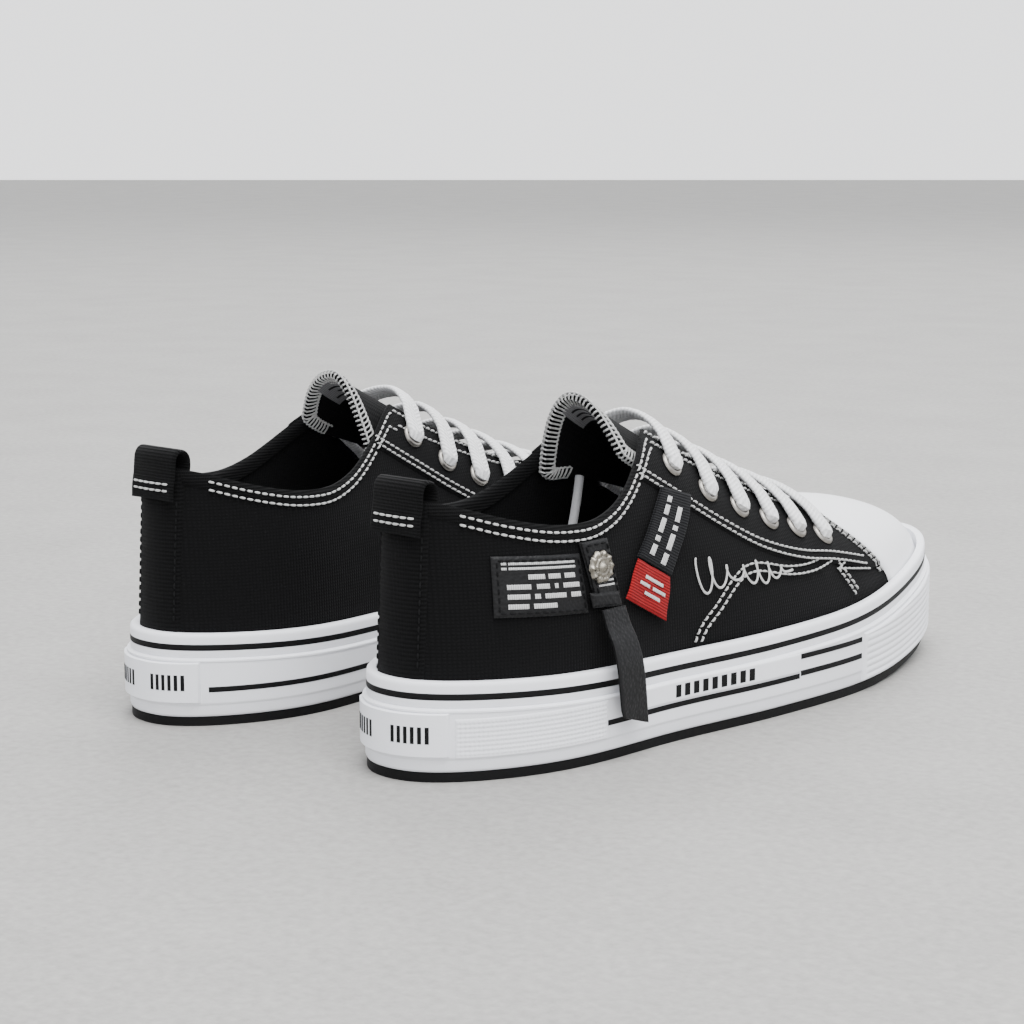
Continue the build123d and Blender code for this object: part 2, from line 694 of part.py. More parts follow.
# The leather tail hangs from the strap over the sidewall, with its inner face through these (x, z).
TAIL_ROUTE = [(36.2, 47.0), (37.9, 41.0), (41.6, 33.5), (42.6, 26.0), (42.8, 11.0)]
with BuildPart() as strap_tail:
    with BuildSketch(Plane.XZ.offset(-80)):
        with BuildLine():
            Polyline(*TAIL_ROUTE, *[(x + TAIL_THICK, z) for x, z in reversed(TAIL_ROUTE)], close=True)
        make_face()
    extrude(amount=30)
    outline = side_block([(59.2, 60), (60.5, 30), (61.8, 13.5), (74.4, 10.0), (73.0, 30), (70.2, 60)])
    add(outline, mode=Mode.INTERSECT)

# The lace's free end hangs from below the tongue on to the footbed.
END_ROUTE = [
    (-9.0, 101.0, 79.5), (-6.5, 96.5, 70.5), (-4.5, 90.0, 58.0), (-1.0, 82.0, 42.0), (3.0, 70.0, 27.5),
    (9.0, 54.0, 22.6), (15.0, 38.0, 22.4)
]
END_BENDS = [14.0, 16.0, 16.0, 16.0, 12.0]
with BuildPart() as lace_end:
    with BuildLine() as end_path:
        FilletPolyline(*END_ROUTE, radius=END_BENDS)
    first_run = Vector(*END_ROUTE[1]) - Vector(*END_ROUTE[0])
    with BuildSketch(Plane(origin=END_ROUTE[0], z_dir=first_run)):
        Circle(LACE_END_RADIUS)
    sweep(path=end_path.wires()[0])

# ---- the pair
pieces = {
    "outsole": outsole,
    "midsole": midsole,
    "foxing": foxing,
    "rand": rand,
    "sole_stripes": sole_stripes,
    "side_panel": side_panel,
    "heel_label": heel_label,
    "toe_bumper": toe_bumper,
    "insole_board": insole_board,
    "sockliner": sockliner,
    "vamp": vamp,
    "lateral_quarter": lateral_quarter,
    "medial_quarter": medial_quarter,
    "toe_cap": toe_cap,
    "eyestays": eyestays,
    "collar_binding": collar_binding,
    "heel_counter": heel_counter,
    "backstay": backstay,
    "pull_loop": pull_loop,
    "tongue": tongue,
    "tongue_top": tongue_top,
    "eyelets": eyelets,
    "lace": lace,
    "side_patch": side_patch,
    "strap_anchor": strap_anchor,
    "strap_tail": strap_tail,
    "badge": badge,
    "black_tag": black_tag,
    "red_tag": red_tag,
    "lace_end": lace_end,
}
MIDDLE = (LENGTH + BUMPER_PROUD - LABEL_PROUD) / 2

os.makedirs("parts", exist_ok=True)
for name, piece in pieces.items():
    with BuildPart() as right:
        with Locations((-SHOE_CENTRE_X, MIDDLE - STAGGER / 2, 0)):
            add(piece.part, rotation=(0, 0, 180))
    with BuildPart() as turned:
        mirror(piece.part, about=Plane.XZ)
    with BuildPart() as left:
        with Locations((SHOE_CENTRE_X, MIDDLE + STAGGER / 2, 0)):
            add(turned.part)
    right.part.label = f"right_{name}"
    left.part.label = f"left_{name}"
    export_step(right.part, f"parts/right_{name}.step")
    export_step(left.part, f"parts/left_{name}.step")
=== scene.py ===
"""The looks of a pair of black canvas sneakers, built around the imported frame.

Each piece is worked out once in the last's own frame, in millimetres: x to the outer (lateral) side,
y forward from the back of the heel, z up from the ground. place() then puts it on either shoe.
"""

import bmesh
import bpy
import math
import numpy as np
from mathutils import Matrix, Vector


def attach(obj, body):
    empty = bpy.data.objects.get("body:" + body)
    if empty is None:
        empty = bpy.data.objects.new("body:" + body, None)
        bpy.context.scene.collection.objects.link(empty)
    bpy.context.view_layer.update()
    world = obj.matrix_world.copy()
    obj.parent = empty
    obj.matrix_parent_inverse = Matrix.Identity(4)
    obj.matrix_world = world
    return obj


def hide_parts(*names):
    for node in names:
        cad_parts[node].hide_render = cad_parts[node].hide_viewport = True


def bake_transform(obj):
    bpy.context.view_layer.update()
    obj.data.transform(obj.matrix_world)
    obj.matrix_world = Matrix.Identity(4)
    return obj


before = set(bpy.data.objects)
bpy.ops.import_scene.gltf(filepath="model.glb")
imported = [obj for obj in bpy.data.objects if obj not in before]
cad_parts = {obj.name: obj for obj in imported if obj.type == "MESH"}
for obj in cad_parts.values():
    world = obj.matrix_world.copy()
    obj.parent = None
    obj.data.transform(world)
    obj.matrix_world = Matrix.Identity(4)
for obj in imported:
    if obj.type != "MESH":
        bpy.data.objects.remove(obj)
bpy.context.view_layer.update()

SHOES = ("right", "left")
SHARP_ANGLE = 50

# ---- the pair and the sole, as in the CAD model
LENGTH = 280.0
SHOE_CENTRE_X = 52.3
MIDDLE = 140.2
STAGGER = 6.6
TOE_SPRING, SPRING_START = 7.0, 0.62
END_POWER, END_ROOT = 2.4, 2.2
OUTSOLE_INSET, OUTSOLE_THICK = 1.0, 3.0
FOXING_THICK = 3.5
BAND_STEPS = 360
RAND_INSET, RAND_INNER, RAND_TALL = 1.0, 4.4, 8.0
LABEL_START, TEXTURE_END, PANEL_START, PANEL_END, BUMPER_START = 9.0, 59.0, 70.0, 149.0, 186.0

# ---- the upper
UPPER_INSET = 5.0
LEAN_RUN, LEAN_RISE, LEAN_FADE, LEAN_BASE = 3.0, 55.0, 60.0, 30.0
WALL_BASE = 20.0
CANVAS, OVERLAY = 1.6, 1.2
COLLAR_END = 101.0
EYELET_YS = [109.0 + 14.8 * i for i in range(6)]
THROAT_ROUND, THROAT_END = 172.0, 187.0
EYESTAY_START, EYESTAY_FRONT = 88.6, 181.0
EYESTAY_GAP = {1: 12.5, -1: 9.0}
BACKSTAY_HALF, LOOP_HALF = 9.7, 10.3
TONGUE_TOP, TONGUE_LOW, TONGUE_HALF_THICK = -4.2, -6.2, 0.95
TONGUE_TIP, TONGUE_END = 86.0, 190.0
STRAP_LAYER, BAR_HALF = 2.6, 0.14
BADGE_AT = (60.3, 60.6)
STITCH_PITCH, STITCH_RADIUS, STITCH_SHARE = 2.6, 0.36, 0.68
OVERLOCK_LOOPS, OVERLOCK_DEEP = 50, 4.0


def smooth(*knots):
    """A smooth function through (position, value) knots, level outside them; it takes arrays."""
    at, to = np.array(knots, float).T
    last = len(at) - 1
    before, after = np.maximum(np.arange(last + 1) - 1, 0), np.minimum(np.arange(last + 1) + 1, last)
    slopes = (to[after] - to[before]) / (at[after] - at[before])

    def value(t):
        t = np.clip(t, at[0], at[-1])
        i = np.clip(np.searchsorted(at, t, side="right") - 1, 0, last - 1)
        h = at[i + 1] - at[i]
        u = (t - at[i]) / h
        low = (1 + 2 * u) * (1 - u) ** 2 * to[i] + u * (1 - u) ** 2 * h * slopes[i]
        return low + u * u * (3 - 2 * u) * to[i + 1] + u * u * (u - 1) * h * slopes[i + 1]

    return value


LATERAL_WIDTH = smooth((0, 44), (0.14, 46), (0.32, 42), (0.5, 46.5), (0.68, 49.5), (0.84, 47), (1, 44))
MEDIAL_WIDTH = smooth((0, 42), (0.14, 43), (0.32, 33), (0.5, 36), (0.68, 46), (0.84, 46.5), (1, 43))
RAND_HEIGHT = smooth((0, 31), (0.3, 28.5), (0.6, 29.5), (0.85, 34), (1, 36))
CREST = smooth(
    (0, 132), (60, 128), (95, 108), (130, 90), (165, 74.5), (200, 63), (235, 57), (255, 51), (268, 43),
    (275, 36)
)
SIDE_POWER = smooth((0, 0.8), (60, 0.9), (110, 1.05), (150, 1.15), (200, 1.15), (240, 0.95), (275, 0.75))
TOP_POWER = smooth((0, 1.0), (60, 1.0), (140, 0.95), (200, 0.85), (245, 0.72), (275, 0.62))
COLLAR = smooth(
    (10, 84.4), (17, 82.4), (28, 78.8), (41, 75.7), (52, 74.5), (62, 74.8), (72, 77.7), (80, 82), (88, 87.6),
    (98, 94.6), (104, 97)
)
EYESTAY_LOW = smooth(
    (88, 85), (107.5, 73.9), (124.5, 63.9), (142.5, 54.8), (162.7, 48.5), (184, 44.8), (207, 39.6)
)
EYELET_LINE = smooth((109, 85.2), (123.8, 75.3), (153, 62.5), (183, 53.3))
SOCKLINER_TOP = smooth((0, 20.5), (60, 20), (110, 21.5), (170, 18.5), (280, 17.5))
THROAT_LATERAL = smooth((95, 13.5), (187, 17))
THROAT_MEDIAL = smooth((95, 10.5), (187, 13))
CAP_EDGE = smooth(
    (24, 221), (35, 218), (39.8, 214.4), (46.8, 207.5), (52.5, 201.4), (57.4, 197), (63, 194.5), (80, 193)
)
VAMP_SEAM = [
    (103, 8), (105, 20), (109.3, 30.8), (117.7, 37.8), (127.6, 45.2), (137, 47.2), (154, 43.8), (168.6, 43.1),
    (184, 44.8), (196, 50), (198, 56), (196, 64), (195, 80)
]


def unit(vectors):
    return vectors / np.maximum(np.linalg.norm(vectors, axis=-1, keepdims=True), 1e-9)


# ---- shapes of the sole and of the last
def spring(y):
    return TOE_SPRING * np.maximum((y / LENGTH - SPRING_START) / (1 - SPRING_START), 0) ** 2


def rand_top(y):
    return RAND_HEIGHT(y / LENGTH) + spring(np.clip(y, 0, LENGTH))


def station(share, inset):
    return inset + (LENGTH - 2 * inset) * (1 - np.cos(np.pi * share)) / 2


def share_of(y, inset=UPPER_INSET):
    return np.arccos(np.clip(1 - 2 * (y - inset) / (LENGTH - 2 * inset), -1, 1)) / np.pi


def half_width(y, side, inset):
    share = np.clip((y - inset) / (LENGTH - 2 * inset), 0, 1)
    width = np.where(np.asarray(side) > 0, LATERAL_WIDTH(y / LENGTH), MEDIAL_WIDTH(y / LENGTH))
    return (width - inset) * np.maximum(1 - np.abs(2 * share - 1) ** END_POWER, 0) ** (1 / END_ROOT)


def lean(row):
    return LEAN_RUN / LEAN_RISE * np.maximum(1 - row / LEAN_FADE, 0)


def base_of(row):
    return WALL_BASE + 0.9 * spring(row)


def at_row(row, turn, side, out):
    """The last's surface in the section row, turned from its base (0) to its crest (pi / 2)."""
    base = base_of(row)
    x = side * half_width(row, side, UPPER_INSET - out) * np.maximum(np.cos(turn), 0) ** SIDE_POWER(row)
    z = base + (CREST(row) + out - base) * np.maximum(np.sin(turn), 0) ** TOP_POWER(row)
    return np.stack(np.broadcast_arrays(x, row + lean(row) * (z - LEAN_BASE), z), -1)


def at_share(share, turn, side, out):
    return at_row(station(share, UPPER_INSET - out), turn, side, out)


def turn_at_height(row, z, out=0.0):
    base = base_of(row)
    rise = np.clip((z - base) / (CREST(row) + out - base), 0, 1)
    return np.arcsin(rise ** (1 / TOP_POWER(row)))


def turn_at_width(row, x, side, out=0.0):
    share = np.clip(np.abs(x) / np.maximum(half_width(row, side, UPPER_INSET - out), 1e-6), 0, 1)
    return np.arccos(share ** (1 / SIDE_POWER(row)))


def with_x(points, x):
    """The same points, moved sideways to x."""
    return np.concatenate([x[..., None], points[..., 1:]], -1)


def section_at(y, z):
    push = LEAN_RUN * (z - LEAN_BASE) / LEAN_RISE
    return np.where(y < LEAN_FADE, (y - push) / (1 - push / LEAN_FADE), y)


def surface(y, z, side, out):
    """The point of the last's surface at the height z and the length y."""
    row = section_at(np.asarray(y, float), np.asarray(z, float))
    points = at_row(row, turn_at_height(row, z, out), side, out)
    points[..., 1], points[..., 2] = y, z
    return points


def surface_normal(y, z, side):
    step = 0.5
    along = surface(y + step, z, side, 0.0) - surface(y - step, z, side, 0.0)
    upward = surface(y, z + step, side, 0.0) - surface(y, z - step, side, 0.0)
    return unit(np.cross(along, upward) * side)


def throat_edge(y, side):
    edge = np.where(np.asarray(side) > 0, THROAT_LATERAL(y), THROAT_MEDIAL(y))
    past = np.clip((y - THROAT_ROUND) / (THROAT_END - THROAT_ROUND), 0, 1)
    return edge * np.sqrt(1 - past**2)


def top_turn(row, side, drop=0.0):
    """Where a section of the upper ends at the collar or the throat, drop below that edge."""
    z = np.full(np.shape(row), 80.0)
    for _ in range(12):
        z = COLLAR(row + lean(row) * (z - LEAN_BASE)) - drop
    collar = np.where(row > 104, np.pi / 2, turn_at_height(row, z))
    throat = turn_at_width(row, throat_edge(row, side) + drop, side)
    throat = np.where((row > THROAT_END) | (row < 88), np.pi / 2, throat)
    return np.minimum(collar, throat)


def run_along(line):
    """The distance along a line at each of its points."""
    return np.concatenate([[0], np.cumsum(np.linalg.norm(np.diff(line, axis=0), axis=1))])


def curve(points, count):
    """A smooth line through points, evenly divided."""
    points = np.asarray(points, float)
    knots = np.arange(len(points))
    fine = np.linspace(0, len(points) - 1, 40 * len(points))
    line = np.stack([smooth(*zip(knots, axis))(fine) for axis in points.T], -1)
    return even(line, count)


def even(line, count):
    """The same line, divided evenly into count points; columns past the third are carried along."""
    run = run_along(line[:, :3])
    return np.stack([np.interp(np.linspace(0, run[-1], count), run, axis) for axis in line.T], -1)


# ---- meshes
def place(points, shoe):
    """Points of the last's frame as points of the pair, in metres."""
    x, y, z = np.moveaxis(np.asarray(points, float), -1, 0)
    if shoe == "right":
        moved = (-SHOE_CENTRE_X - x, MIDDLE - STAGGER / 2 - y, z)
    else:
        moved = (SHOE_CENTRE_X + x, MIDDLE + STAGGER / 2 - y, z)
    return np.stack(moved, -1) / 1000


def fine_ends(count, length, edge):
    """Shares from 0 to 1, count of them evenly spread and a few more inside each rounded edge."""
    rim = np.array([0, 0.08, 0.3, 0.65, 1.0]) * min(edge / length, 0.45)
    return np.concatenate([rim, np.linspace(rim[-1], 1 - rim[-1], count)[1:-1], 1 - rim[::-1]])


def add_object(name, data):
    obj = bpy.data.objects.new(name, data)
    bpy.context.scene.collection.objects.link(obj)
    return obj


class Soup:
    """Closed shells gathered into one mesh, with a map of their millimetres for the materials."""

    def __init__(self):
        self.points, self.quads, self.maps, self.count = [], [], [], 0

    def add(self, points, quads, uv=None):
        points = np.asarray(points, float).reshape(-1, 3)
        self.points.append(points)
        self.quads.append(np.asarray(quads, int).reshape(-1, 4) + self.count)
        self.maps.append(points[:, 1:] if uv is None else np.asarray(uv, float).reshape(-1, 2))
        self.count += len(points)

    def shell(self, outer, inner, mask=None, uv=None):
        """The solid between two grids of points, or the part of it whose cells are in mask."""
        rows, columns = outer.shape[:2]
        number = np.arange(rows * columns).reshape(rows, columns)
        cells = np.stack([number[:-1, :-1], number[1:, :-1], number[1:, 1:], number[:-1, 1:]], -1)
        mask = np.ones((rows - 1, columns - 1), bool) if mask is None else mask
        top = cells[mask]
        bottom = top[:, ::-1] + rows * columns
        edges = np.concatenate([top[:, [i, (i + 1) % 4]] for i in range(4)])
        _, index, seen = np.unique(np.sort(edges, 1), axis=0, return_index=True, return_counts=True)
        rim = edges[index[seen == 1]]
        walls = np.stack([rim[:, 1], rim[:, 0], rim[:, 0] + rows * columns, rim[:, 1] + rows * columns], -1)
        quads = np.concatenate([top, bottom, walls])
        points = np.concatenate([outer.reshape(-1, 3), inner.reshape(-1, 3)])
        uv = None if uv is None else np.concatenate([uv.reshape(-1, 2)] * 2)
        used = np.unique(quads)
        renumber = np.zeros(len(points), int)
        renumber[used] = np.arange(len(used))
        self.add(points[used], renumber[quads], None if uv is None else uv[used])

    def ring(self, loops):
        """A closed band through loops of points, (loop, point, 3), closed both ways."""
        loops = np.asarray(loops)
        rows, columns = loops.shape[:2]
        number = np.arange(rows * columns).reshape(rows, columns)
        down, across = np.roll(number, -1, 0), np.roll(number, -1, 1)
        both = np.roll(down, -1, 1)
        self.add(loops, np.stack([number, down, both, across], -1))

    def sleeve(self, loops, uv=None):
        """Tubes through closed profiles, (tube, step, corner, 3), with flat ends."""
        corners = loops.shape[2]
        number = np.arange(loops[..., 0].size).reshape(loops.shape[:3])
        near, far = number[:, :-1], number[:, 1:]
        walls = np.stack([near, far, np.roll(far, -1, 2), np.roll(near, -1, 2)], -1)
        strips = [(i, i + 1, corners - 2 - i, corners - 1 - i) for i in range(corners // 2 - 1)]
        ends = [number[:, end][:, np.array(strips)] for end in (0, -1)]
        self.add(loops, np.concatenate([quads.reshape(-1, 4) for quads in (walls, *ends)]), uv)

    def tubes(self, lines, radii, normals, flat=1.0, sides=6):
        """Round or flattened tubes along lines, (tube, point, 3), with radii at their points."""
        lines, normals = np.asarray(lines, float), np.asarray(normals, float)
        radii = np.broadcast_to(radii, lines.shape[:2])
        tangent = unit(np.gradient(lines, axis=1))
        across = unit(np.cross(tangent, normals))
        up = np.cross(across, tangent)
        angle = 2 * np.pi * np.arange(sides) / sides
        sideways, upwards = np.cos(angle)[:, None], flat * np.sin(angle)[:, None]
        spokes = sideways * across[:, :, None] + upwards * up[:, :, None]
        points = lines[:, :, None] + radii[..., None, None] * spokes
        run = np.cumsum(np.linalg.norm(np.diff(lines, axis=1, prepend=lines[:, :1]), axis=-1), axis=1)
        uv = np.stack(np.broadcast_arrays(angle * 3 / np.pi, run[:, :, None]), -1)
        self.sleeve(points, uv)

    def make(self, name, shoe, material, slot=None, body="shoe", nodes=None):
        """One object of everything gathered, in place of the CAD nodes or of the one with its name."""
        mesh = bpy.data.meshes.new(f"{shoe}_{name}")
        points = place(np.concatenate(self.points), shoe)
        mesh.from_pydata(points.tolist(), [], np.concatenate(self.quads).tolist())
        layer = mesh.uv_layers.new(name="millimetres")
        corner = np.empty(len(mesh.loops), int)
        mesh.loops.foreach_get("vertex_index", corner)
        layer.data.foreach_set("uv", (np.concatenate(self.maps) / 1000)[corner].ravel())
        shape = bmesh.new()
        shape.from_mesh(mesh)
        bmesh.ops.recalc_face_normals(shape, faces=shape.faces)
        shape.to_mesh(mesh)
        shape.free()
        obj = add_object(f"{shoe}_{name}_look", mesh)
        mesh.materials.append(material)
        mesh.shade_smooth()
        mesh.set_sharp_from_angle(angle=math.radians(SHARP_ANGLE))
        if body is not None:
            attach(obj, f"{shoe}_{body}")
        # Blender numbers a material whose name the imported CAD model already has.
        nodes = [f"{shoe}_{node}" for node in nodes or [name]]
        if nodes[0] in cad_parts:
            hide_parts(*nodes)
        return obj


# ---- materials
class Shader:
    """A Principled material with short calls for the nodes that feed it."""

    def __init__(self, name, colour, roughness, **sockets):
        self.material = bpy.data.materials.new(name)
        self.material.use_nodes = True
        self.nodes, self.links = self.material.node_tree.nodes, self.material.node_tree.links
        self.shader = self.nodes["Principled BSDF"]
        self.colour = colour
        self.shader.inputs["Base Color"].default_value = (*colour, 1)
        self.shader.inputs["Roughness"].default_value = roughness
        for socket, value in sockets.items():
            self.shader.inputs[socket.replace("_", " ")].default_value = value
        self.place = self.nodes.new("ShaderNodeTexCoord").outputs["Object"]
        self.map = self.nodes.new("ShaderNodeUVMap")
        self.map.uv_map = "millimetres"
        self.map = self.map.outputs["UV"]
        self.height = None

    def math(self, kind, a, b=None):
        node = self.nodes.new("ShaderNodeMath")
        node.operation = kind
        for i, value in enumerate((a, b)):
            if isinstance(value, (int, float)):
                node.inputs[i].default_value = value
            elif value is not None:
                self.links.new(value, node.inputs[i])
        return node.outputs[0]

    def axes(self):
        split = self.nodes.new("ShaderNodeSeparateXYZ")
        self.links.new(self.map, split.inputs[0])
        return split.outputs[0], split.outputs[1]

    def mix(self, *parts):
        """The sum of (value, weight) parts."""
        total, *others = [self.math("MULTIPLY", value, weight) for value, weight in parts]
        for part in others:
            total = self.math("ADD", total, part)
        return total

    def node(self, kind, output=0, **inputs):
        """An output of a new node, whose named inputs take numbers or other outputs."""
        node = self.nodes.new(f"ShaderNode{kind}")
        for name, value in inputs.items():
            socket = node.inputs[name.replace("_", " ")]
            if isinstance(value, (int, float)):
                socket.default_value = value
            else:
                self.links.new(value, socket)
        return node.outputs[output]

    def noise(self, scale, detail=3.0, roughness=0.6):
        return self.node(
            "TexNoise", "Fac", Scale=scale, Detail=detail, Roughness=roughness, Vector=self.place
        )

    def cells(self, scale):
        return self.node("TexVoronoi", "Distance", Scale=scale, Vector=self.place)

    def waves(self, value, pitch):
        """A sine of a length in metres, from -1 to 1, repeating over pitch."""
        return self.math("SINE", self.math("MULTIPLY", value, 2 * math.pi / pitch))

    def tint(self, value, low, high):
        """The base colour, scaled from low to high as value goes from 0 to 1."""
        ramp = self.nodes.new("ShaderNodeValToRGB")
        for stop, share in zip(ramp.color_ramp.elements, (low, high)):
            stop.color = (*[min(c * share, 1) for c in self.colour], 1)
        self.links.new(value, ramp.inputs[0])
        self.links.new(ramp.outputs[0], self.shader.inputs["Base Color"])

    def bump(self, value, distance):
        below = {} if self.height is None else {"Normal": self.height}
        self.height = self.node("Bump", Strength=1.0, Distance=distance, Height=value, **below)
        self.links.new(self.height, self.shader.inputs["Normal"])

    def roughen(self, value, low, high):
        spread = self.node("MapRange", Value=value, To_Min=low, To_Max=high)
        self.links.new(spread, self.shader.inputs["Roughness"])


def woven(name, colour, pitch, sheen=0.25, light=1.8):
    """Plain weave, over and under in turn, with fibre noise and slubs."""
    made = Shader(name, colour, 0.92, Sheen_Weight=sheen, Sheen_Roughness=0.5, Specular_IOR_Level=0.12)
    across, along = made.axes()
    weave = made.math("MULTIPLY", made.waves(across, 2 * pitch), made.waves(along, 2 * pitch))
    mixed = made.mix((made.math("ABSOLUTE", weave), 0.6), (made.noise(900, 4), 0.4))
    made.tint(mixed, 0.55, light)
    made.bump(mixed, 0.00018)
    return made.material


def ribbed(name, colour, pitch, along_v=False, light=1.9, sheen=0.2, depth=0.00025):
    """Webbing or tape, with ribs and fine threads across them."""
    made = Shader(name, colour, 0.9, Sheen_Weight=sheen, Specular_IOR_Level=0.12)
    across, along = made.axes()
    ribs = made.waves(along if along_v else across, pitch)
    threads = made.waves(across if along_v else along, pitch * 0.45)
    mixed = made.mix((ribs, 0.35), (threads, 0.12), (made.noise(1100, 3), 0.5))
    made.tint(mixed, 0.5, light)
    made.bump(mixed, depth)
    return made.material


def rubber(name, colour, roughness, grain, dirt=0.9, specular=0.4):
    """Moulded rubber with a fine skin and faint smudges."""
    made = Shader(name, colour, roughness, Specular_IOR_Level=specular)
    smudge = made.noise(28, 5)
    made.tint(smudge, dirt, 1.04)
    made.roughen(smudge, roughness - 0.08, roughness + 0.12)
    made.bump(made.noise(grain, 4), 0.00008)
    made.bump(made.noise(60, 2), 0.00015)
    return made.material


def leather(name, colour):
    made = Shader(name, colour, 0.48, Specular_IOR_Level=0.25)
    grain = made.cells(900)
    made.tint(made.noise(300, 5), 0.7, 1.7)
    made.roughen(grain, 0.4, 0.62)
    made.bump(grain, 0.00016)
    made.bump(made.noise(120, 4), 0.0002)
    return made.material


def metal(name, colour, roughness, dark=0.45):
    made = Shader(name, colour, roughness, Metallic=1.0)
    wear = made.noise(420, 5)
    made.tint(wear, dark, 1.15)
    made.roughen(wear, roughness - 0.1, roughness + 0.2)
    made.bump(wear, 0.00006)
    return made.material


def braided(name, colour, low=0.72):
    """Flat braid: slanting strands that meet in a row of vees down the middle."""
    pitch = 0.0016
    made = Shader(name, colour, 0.88, Sheen_Weight=0.4, Specular_IOR_Level=0.25)
    across, along = made.axes()
    slant = made.math("ADD", along, made.math("MULTIPLY", made.math("ABSOLUTE", across), 0.7))
    strands = made.waves(slant, pitch)
    columns = made.waves(across, pitch)
    mixed = made.mix((strands, 0.3), (columns, 0.14), (made.noise(1500, 3), 0.7))
    made.tint(mixed, low, 1.06)
    made.bump(mixed, 0.0003)
    return made.material


def board(name, colour):
    made = Shader(name, colour, 0.85)
    made.tint(made.noise(700, 5), 0.7, 1.2)
    made.bump(made.noise(900, 3), 0.0001)
    return made.material


canvas_black = woven("canvas_black", (0.0021, 0.0021, 0.0023), 0.0011, sheen=0.02)
# The sockliner's own light grey, darkened: painted shade of the inside of the shoe.
sock_grey_painted_shade = woven("sock_grey_painted_shade", (0.115, 0.115, 0.12), 0.0008, sheen=0.15, light=1.3)
webbing_black = ribbed("webbing_black", (0.002, 0.002, 0.0022), 0.0013, sheen=0.02)
binding_black = ribbed("binding_black", (0.0028, 0.0028, 0.003), 0.001, along_v=True, sheen=0.02)
tape_charcoal = ribbed("tape_charcoal", (0.009, 0.0095, 0.0105), 0.0009, along_v=True, light=1.6, sheen=0.03)
tape_red = ribbed("tape_red", (0.3, 0.012, 0.014), 0.0009, along_v=True, light=1.25, sheen=0.03)
label_grey = woven("label_grey", (0.16, 0.16, 0.165), 0.0007, light=1.3)
rubber_white = rubber("rubber_white", (0.84, 0.85, 0.885), 0.42, 1600, dirt=0.93)
cap_white = rubber("cap_white", (0.86, 0.865, 0.885), 0.3, 900, dirt=0.95)
rubber_black = rubber("rubber_black", (0.0035, 0.0035, 0.0038), 0.55, 1500, dirt=0.7, specular=0.15)
leather_black = leather("leather_black", (0.0032, 0.0032, 0.0036))
nickel = metal("nickel", (0.36, 0.34, 0.31), 0.28)
old_silver = metal("old_silver", (0.4, 0.37, 0.31), 0.24, dark=0.1)
lace_white = braided("lace_white", (0.86, 0.86, 0.86))
# The white lace's own braid, darkened to grey: painted shade for the free end that lies inside the shoe.
lace_painted_shade = braided("lace_painted_shade", (0.44, 0.44, 0.45), low=0.6)
thread_white = ribbed("thread_white", (0.82, 0.82, 0.8), 0.0005, light=1.05, depth=0.0001)
thread_black = ribbed("thread_black", (0.006, 0.006, 0.0065), 0.0005, depth=0.0001, sheen=0.02)
print_white = ribbed("print_white", (0.7, 0.7, 0.69), 0.0007, light=1.1, depth=0.0001)
fibre_board = board("fibre_board", (0.5, 0.44, 0.35))


# ---- camera and stage
CAMERA_AT = (-0.5323, 0.6139, 0.196)
CAMERA_AHEAD = (0.6587, -0.7336, -0.1673)
CAMERA_LENS = 81.5
WALL_DISTANCE = 7.6


def set_camera():
    data = bpy.data.cameras.new("camera")
    data.lens, data.sensor_width, data.clip_end = CAMERA_LENS, 36.0, 60.0
    camera = add_object("camera", data)
    camera.location = CAMERA_AT
    camera.rotation_euler = Vector(CAMERA_AHEAD).to_track_quat("-Z", "Y").to_euler()
    bpy.context.scene.camera = camera


def stage_plane(name, size, location, rotation, material):
    half = size / 2
    mesh = bpy.data.meshes.new(name)
    corners = [(-half, -half, 0), (half, -half, 0), (half, half, 0), (-half, half, 0)]
    mesh.from_pydata(corners, [], [(0, 1, 2, 3)])
    mesh.materials.append(material)
    obj = add_object(name, mesh)
    obj.location, obj.rotation_euler = location, rotation


def area_light(name, location, target, size, power):
    data = bpy.data.lights.new(name, "AREA")
    data.shape, data.size, data.energy = "SQUARE", size, power
    light = add_object(name, data)
    light.location = location
    light.rotation_euler = (Vector(target) - Vector(location)).to_track_quat("-Z", "Y").to_euler()


def set_stage():
    floor = Shader("stage_floor", (0.315, 0.308, 0.294), 0.6, Specular_IOR_Level=0.25)
    floor.tint(floor.mix((floor.noise(300, 2), 0.6), (floor.noise(14, 6, 0.65), 0.4)), 0.55, 1.42)
    floor.bump(floor.noise(160, 4), 0.0004)
    wall = Shader("stage_wall", (0.8, 0.8, 0.8), 0.9, Emission_Color=(1, 1, 1, 1), Emission_Strength=1.15)
    stage_plane("stage_floor", 40.0, (0, 0, 0), (0, 0, 0), floor.material)
    ahead = Vector((CAMERA_AHEAD[0], CAMERA_AHEAD[1], 0)).normalized()
    foot = Vector((CAMERA_AT[0], CAMERA_AT[1], 0)) + ahead * WALL_DISTANCE
    turn = math.atan2(ahead.x, -ahead.y)
    stage_plane("stage_wall", 40.0, foot, (math.radians(90), 0, turn), wall.material)
    world = bpy.data.worlds.new("studio")
    world.use_nodes = True
    world.node_tree.nodes["Background"].inputs["Color"].default_value = (0.93, 0.95, 1.0, 1)
    world.node_tree.nodes["Background"].inputs["Strength"].default_value = 1.45
    bpy.context.scene.world = world
    area_light("key", (-0.9, 0.4, 2.3), (0, 0, 0), 2.0, 105.0)
    area_light("fill", (-1.9, 1.3, 0.9), (0, 0, 0.05), 1.6, 16.0)
    area_light("back", (1.2, -1.9, 2.3), (0, 0, 0), 1.8, 60.0)


set_camera()
set_stage()


# ---- sole
def ring_point(t, inset):
    """The outline drawn in by inset: t is 0 at the heel, 1 at the toe, and negative on the medial side."""
    side, share = np.where(t < 0, -1.0, 1.0), np.abs(t)
    y = station(share, inset)
    return np.stack(np.broadcast_arrays(side * half_width(y, side, inset), y), -1)


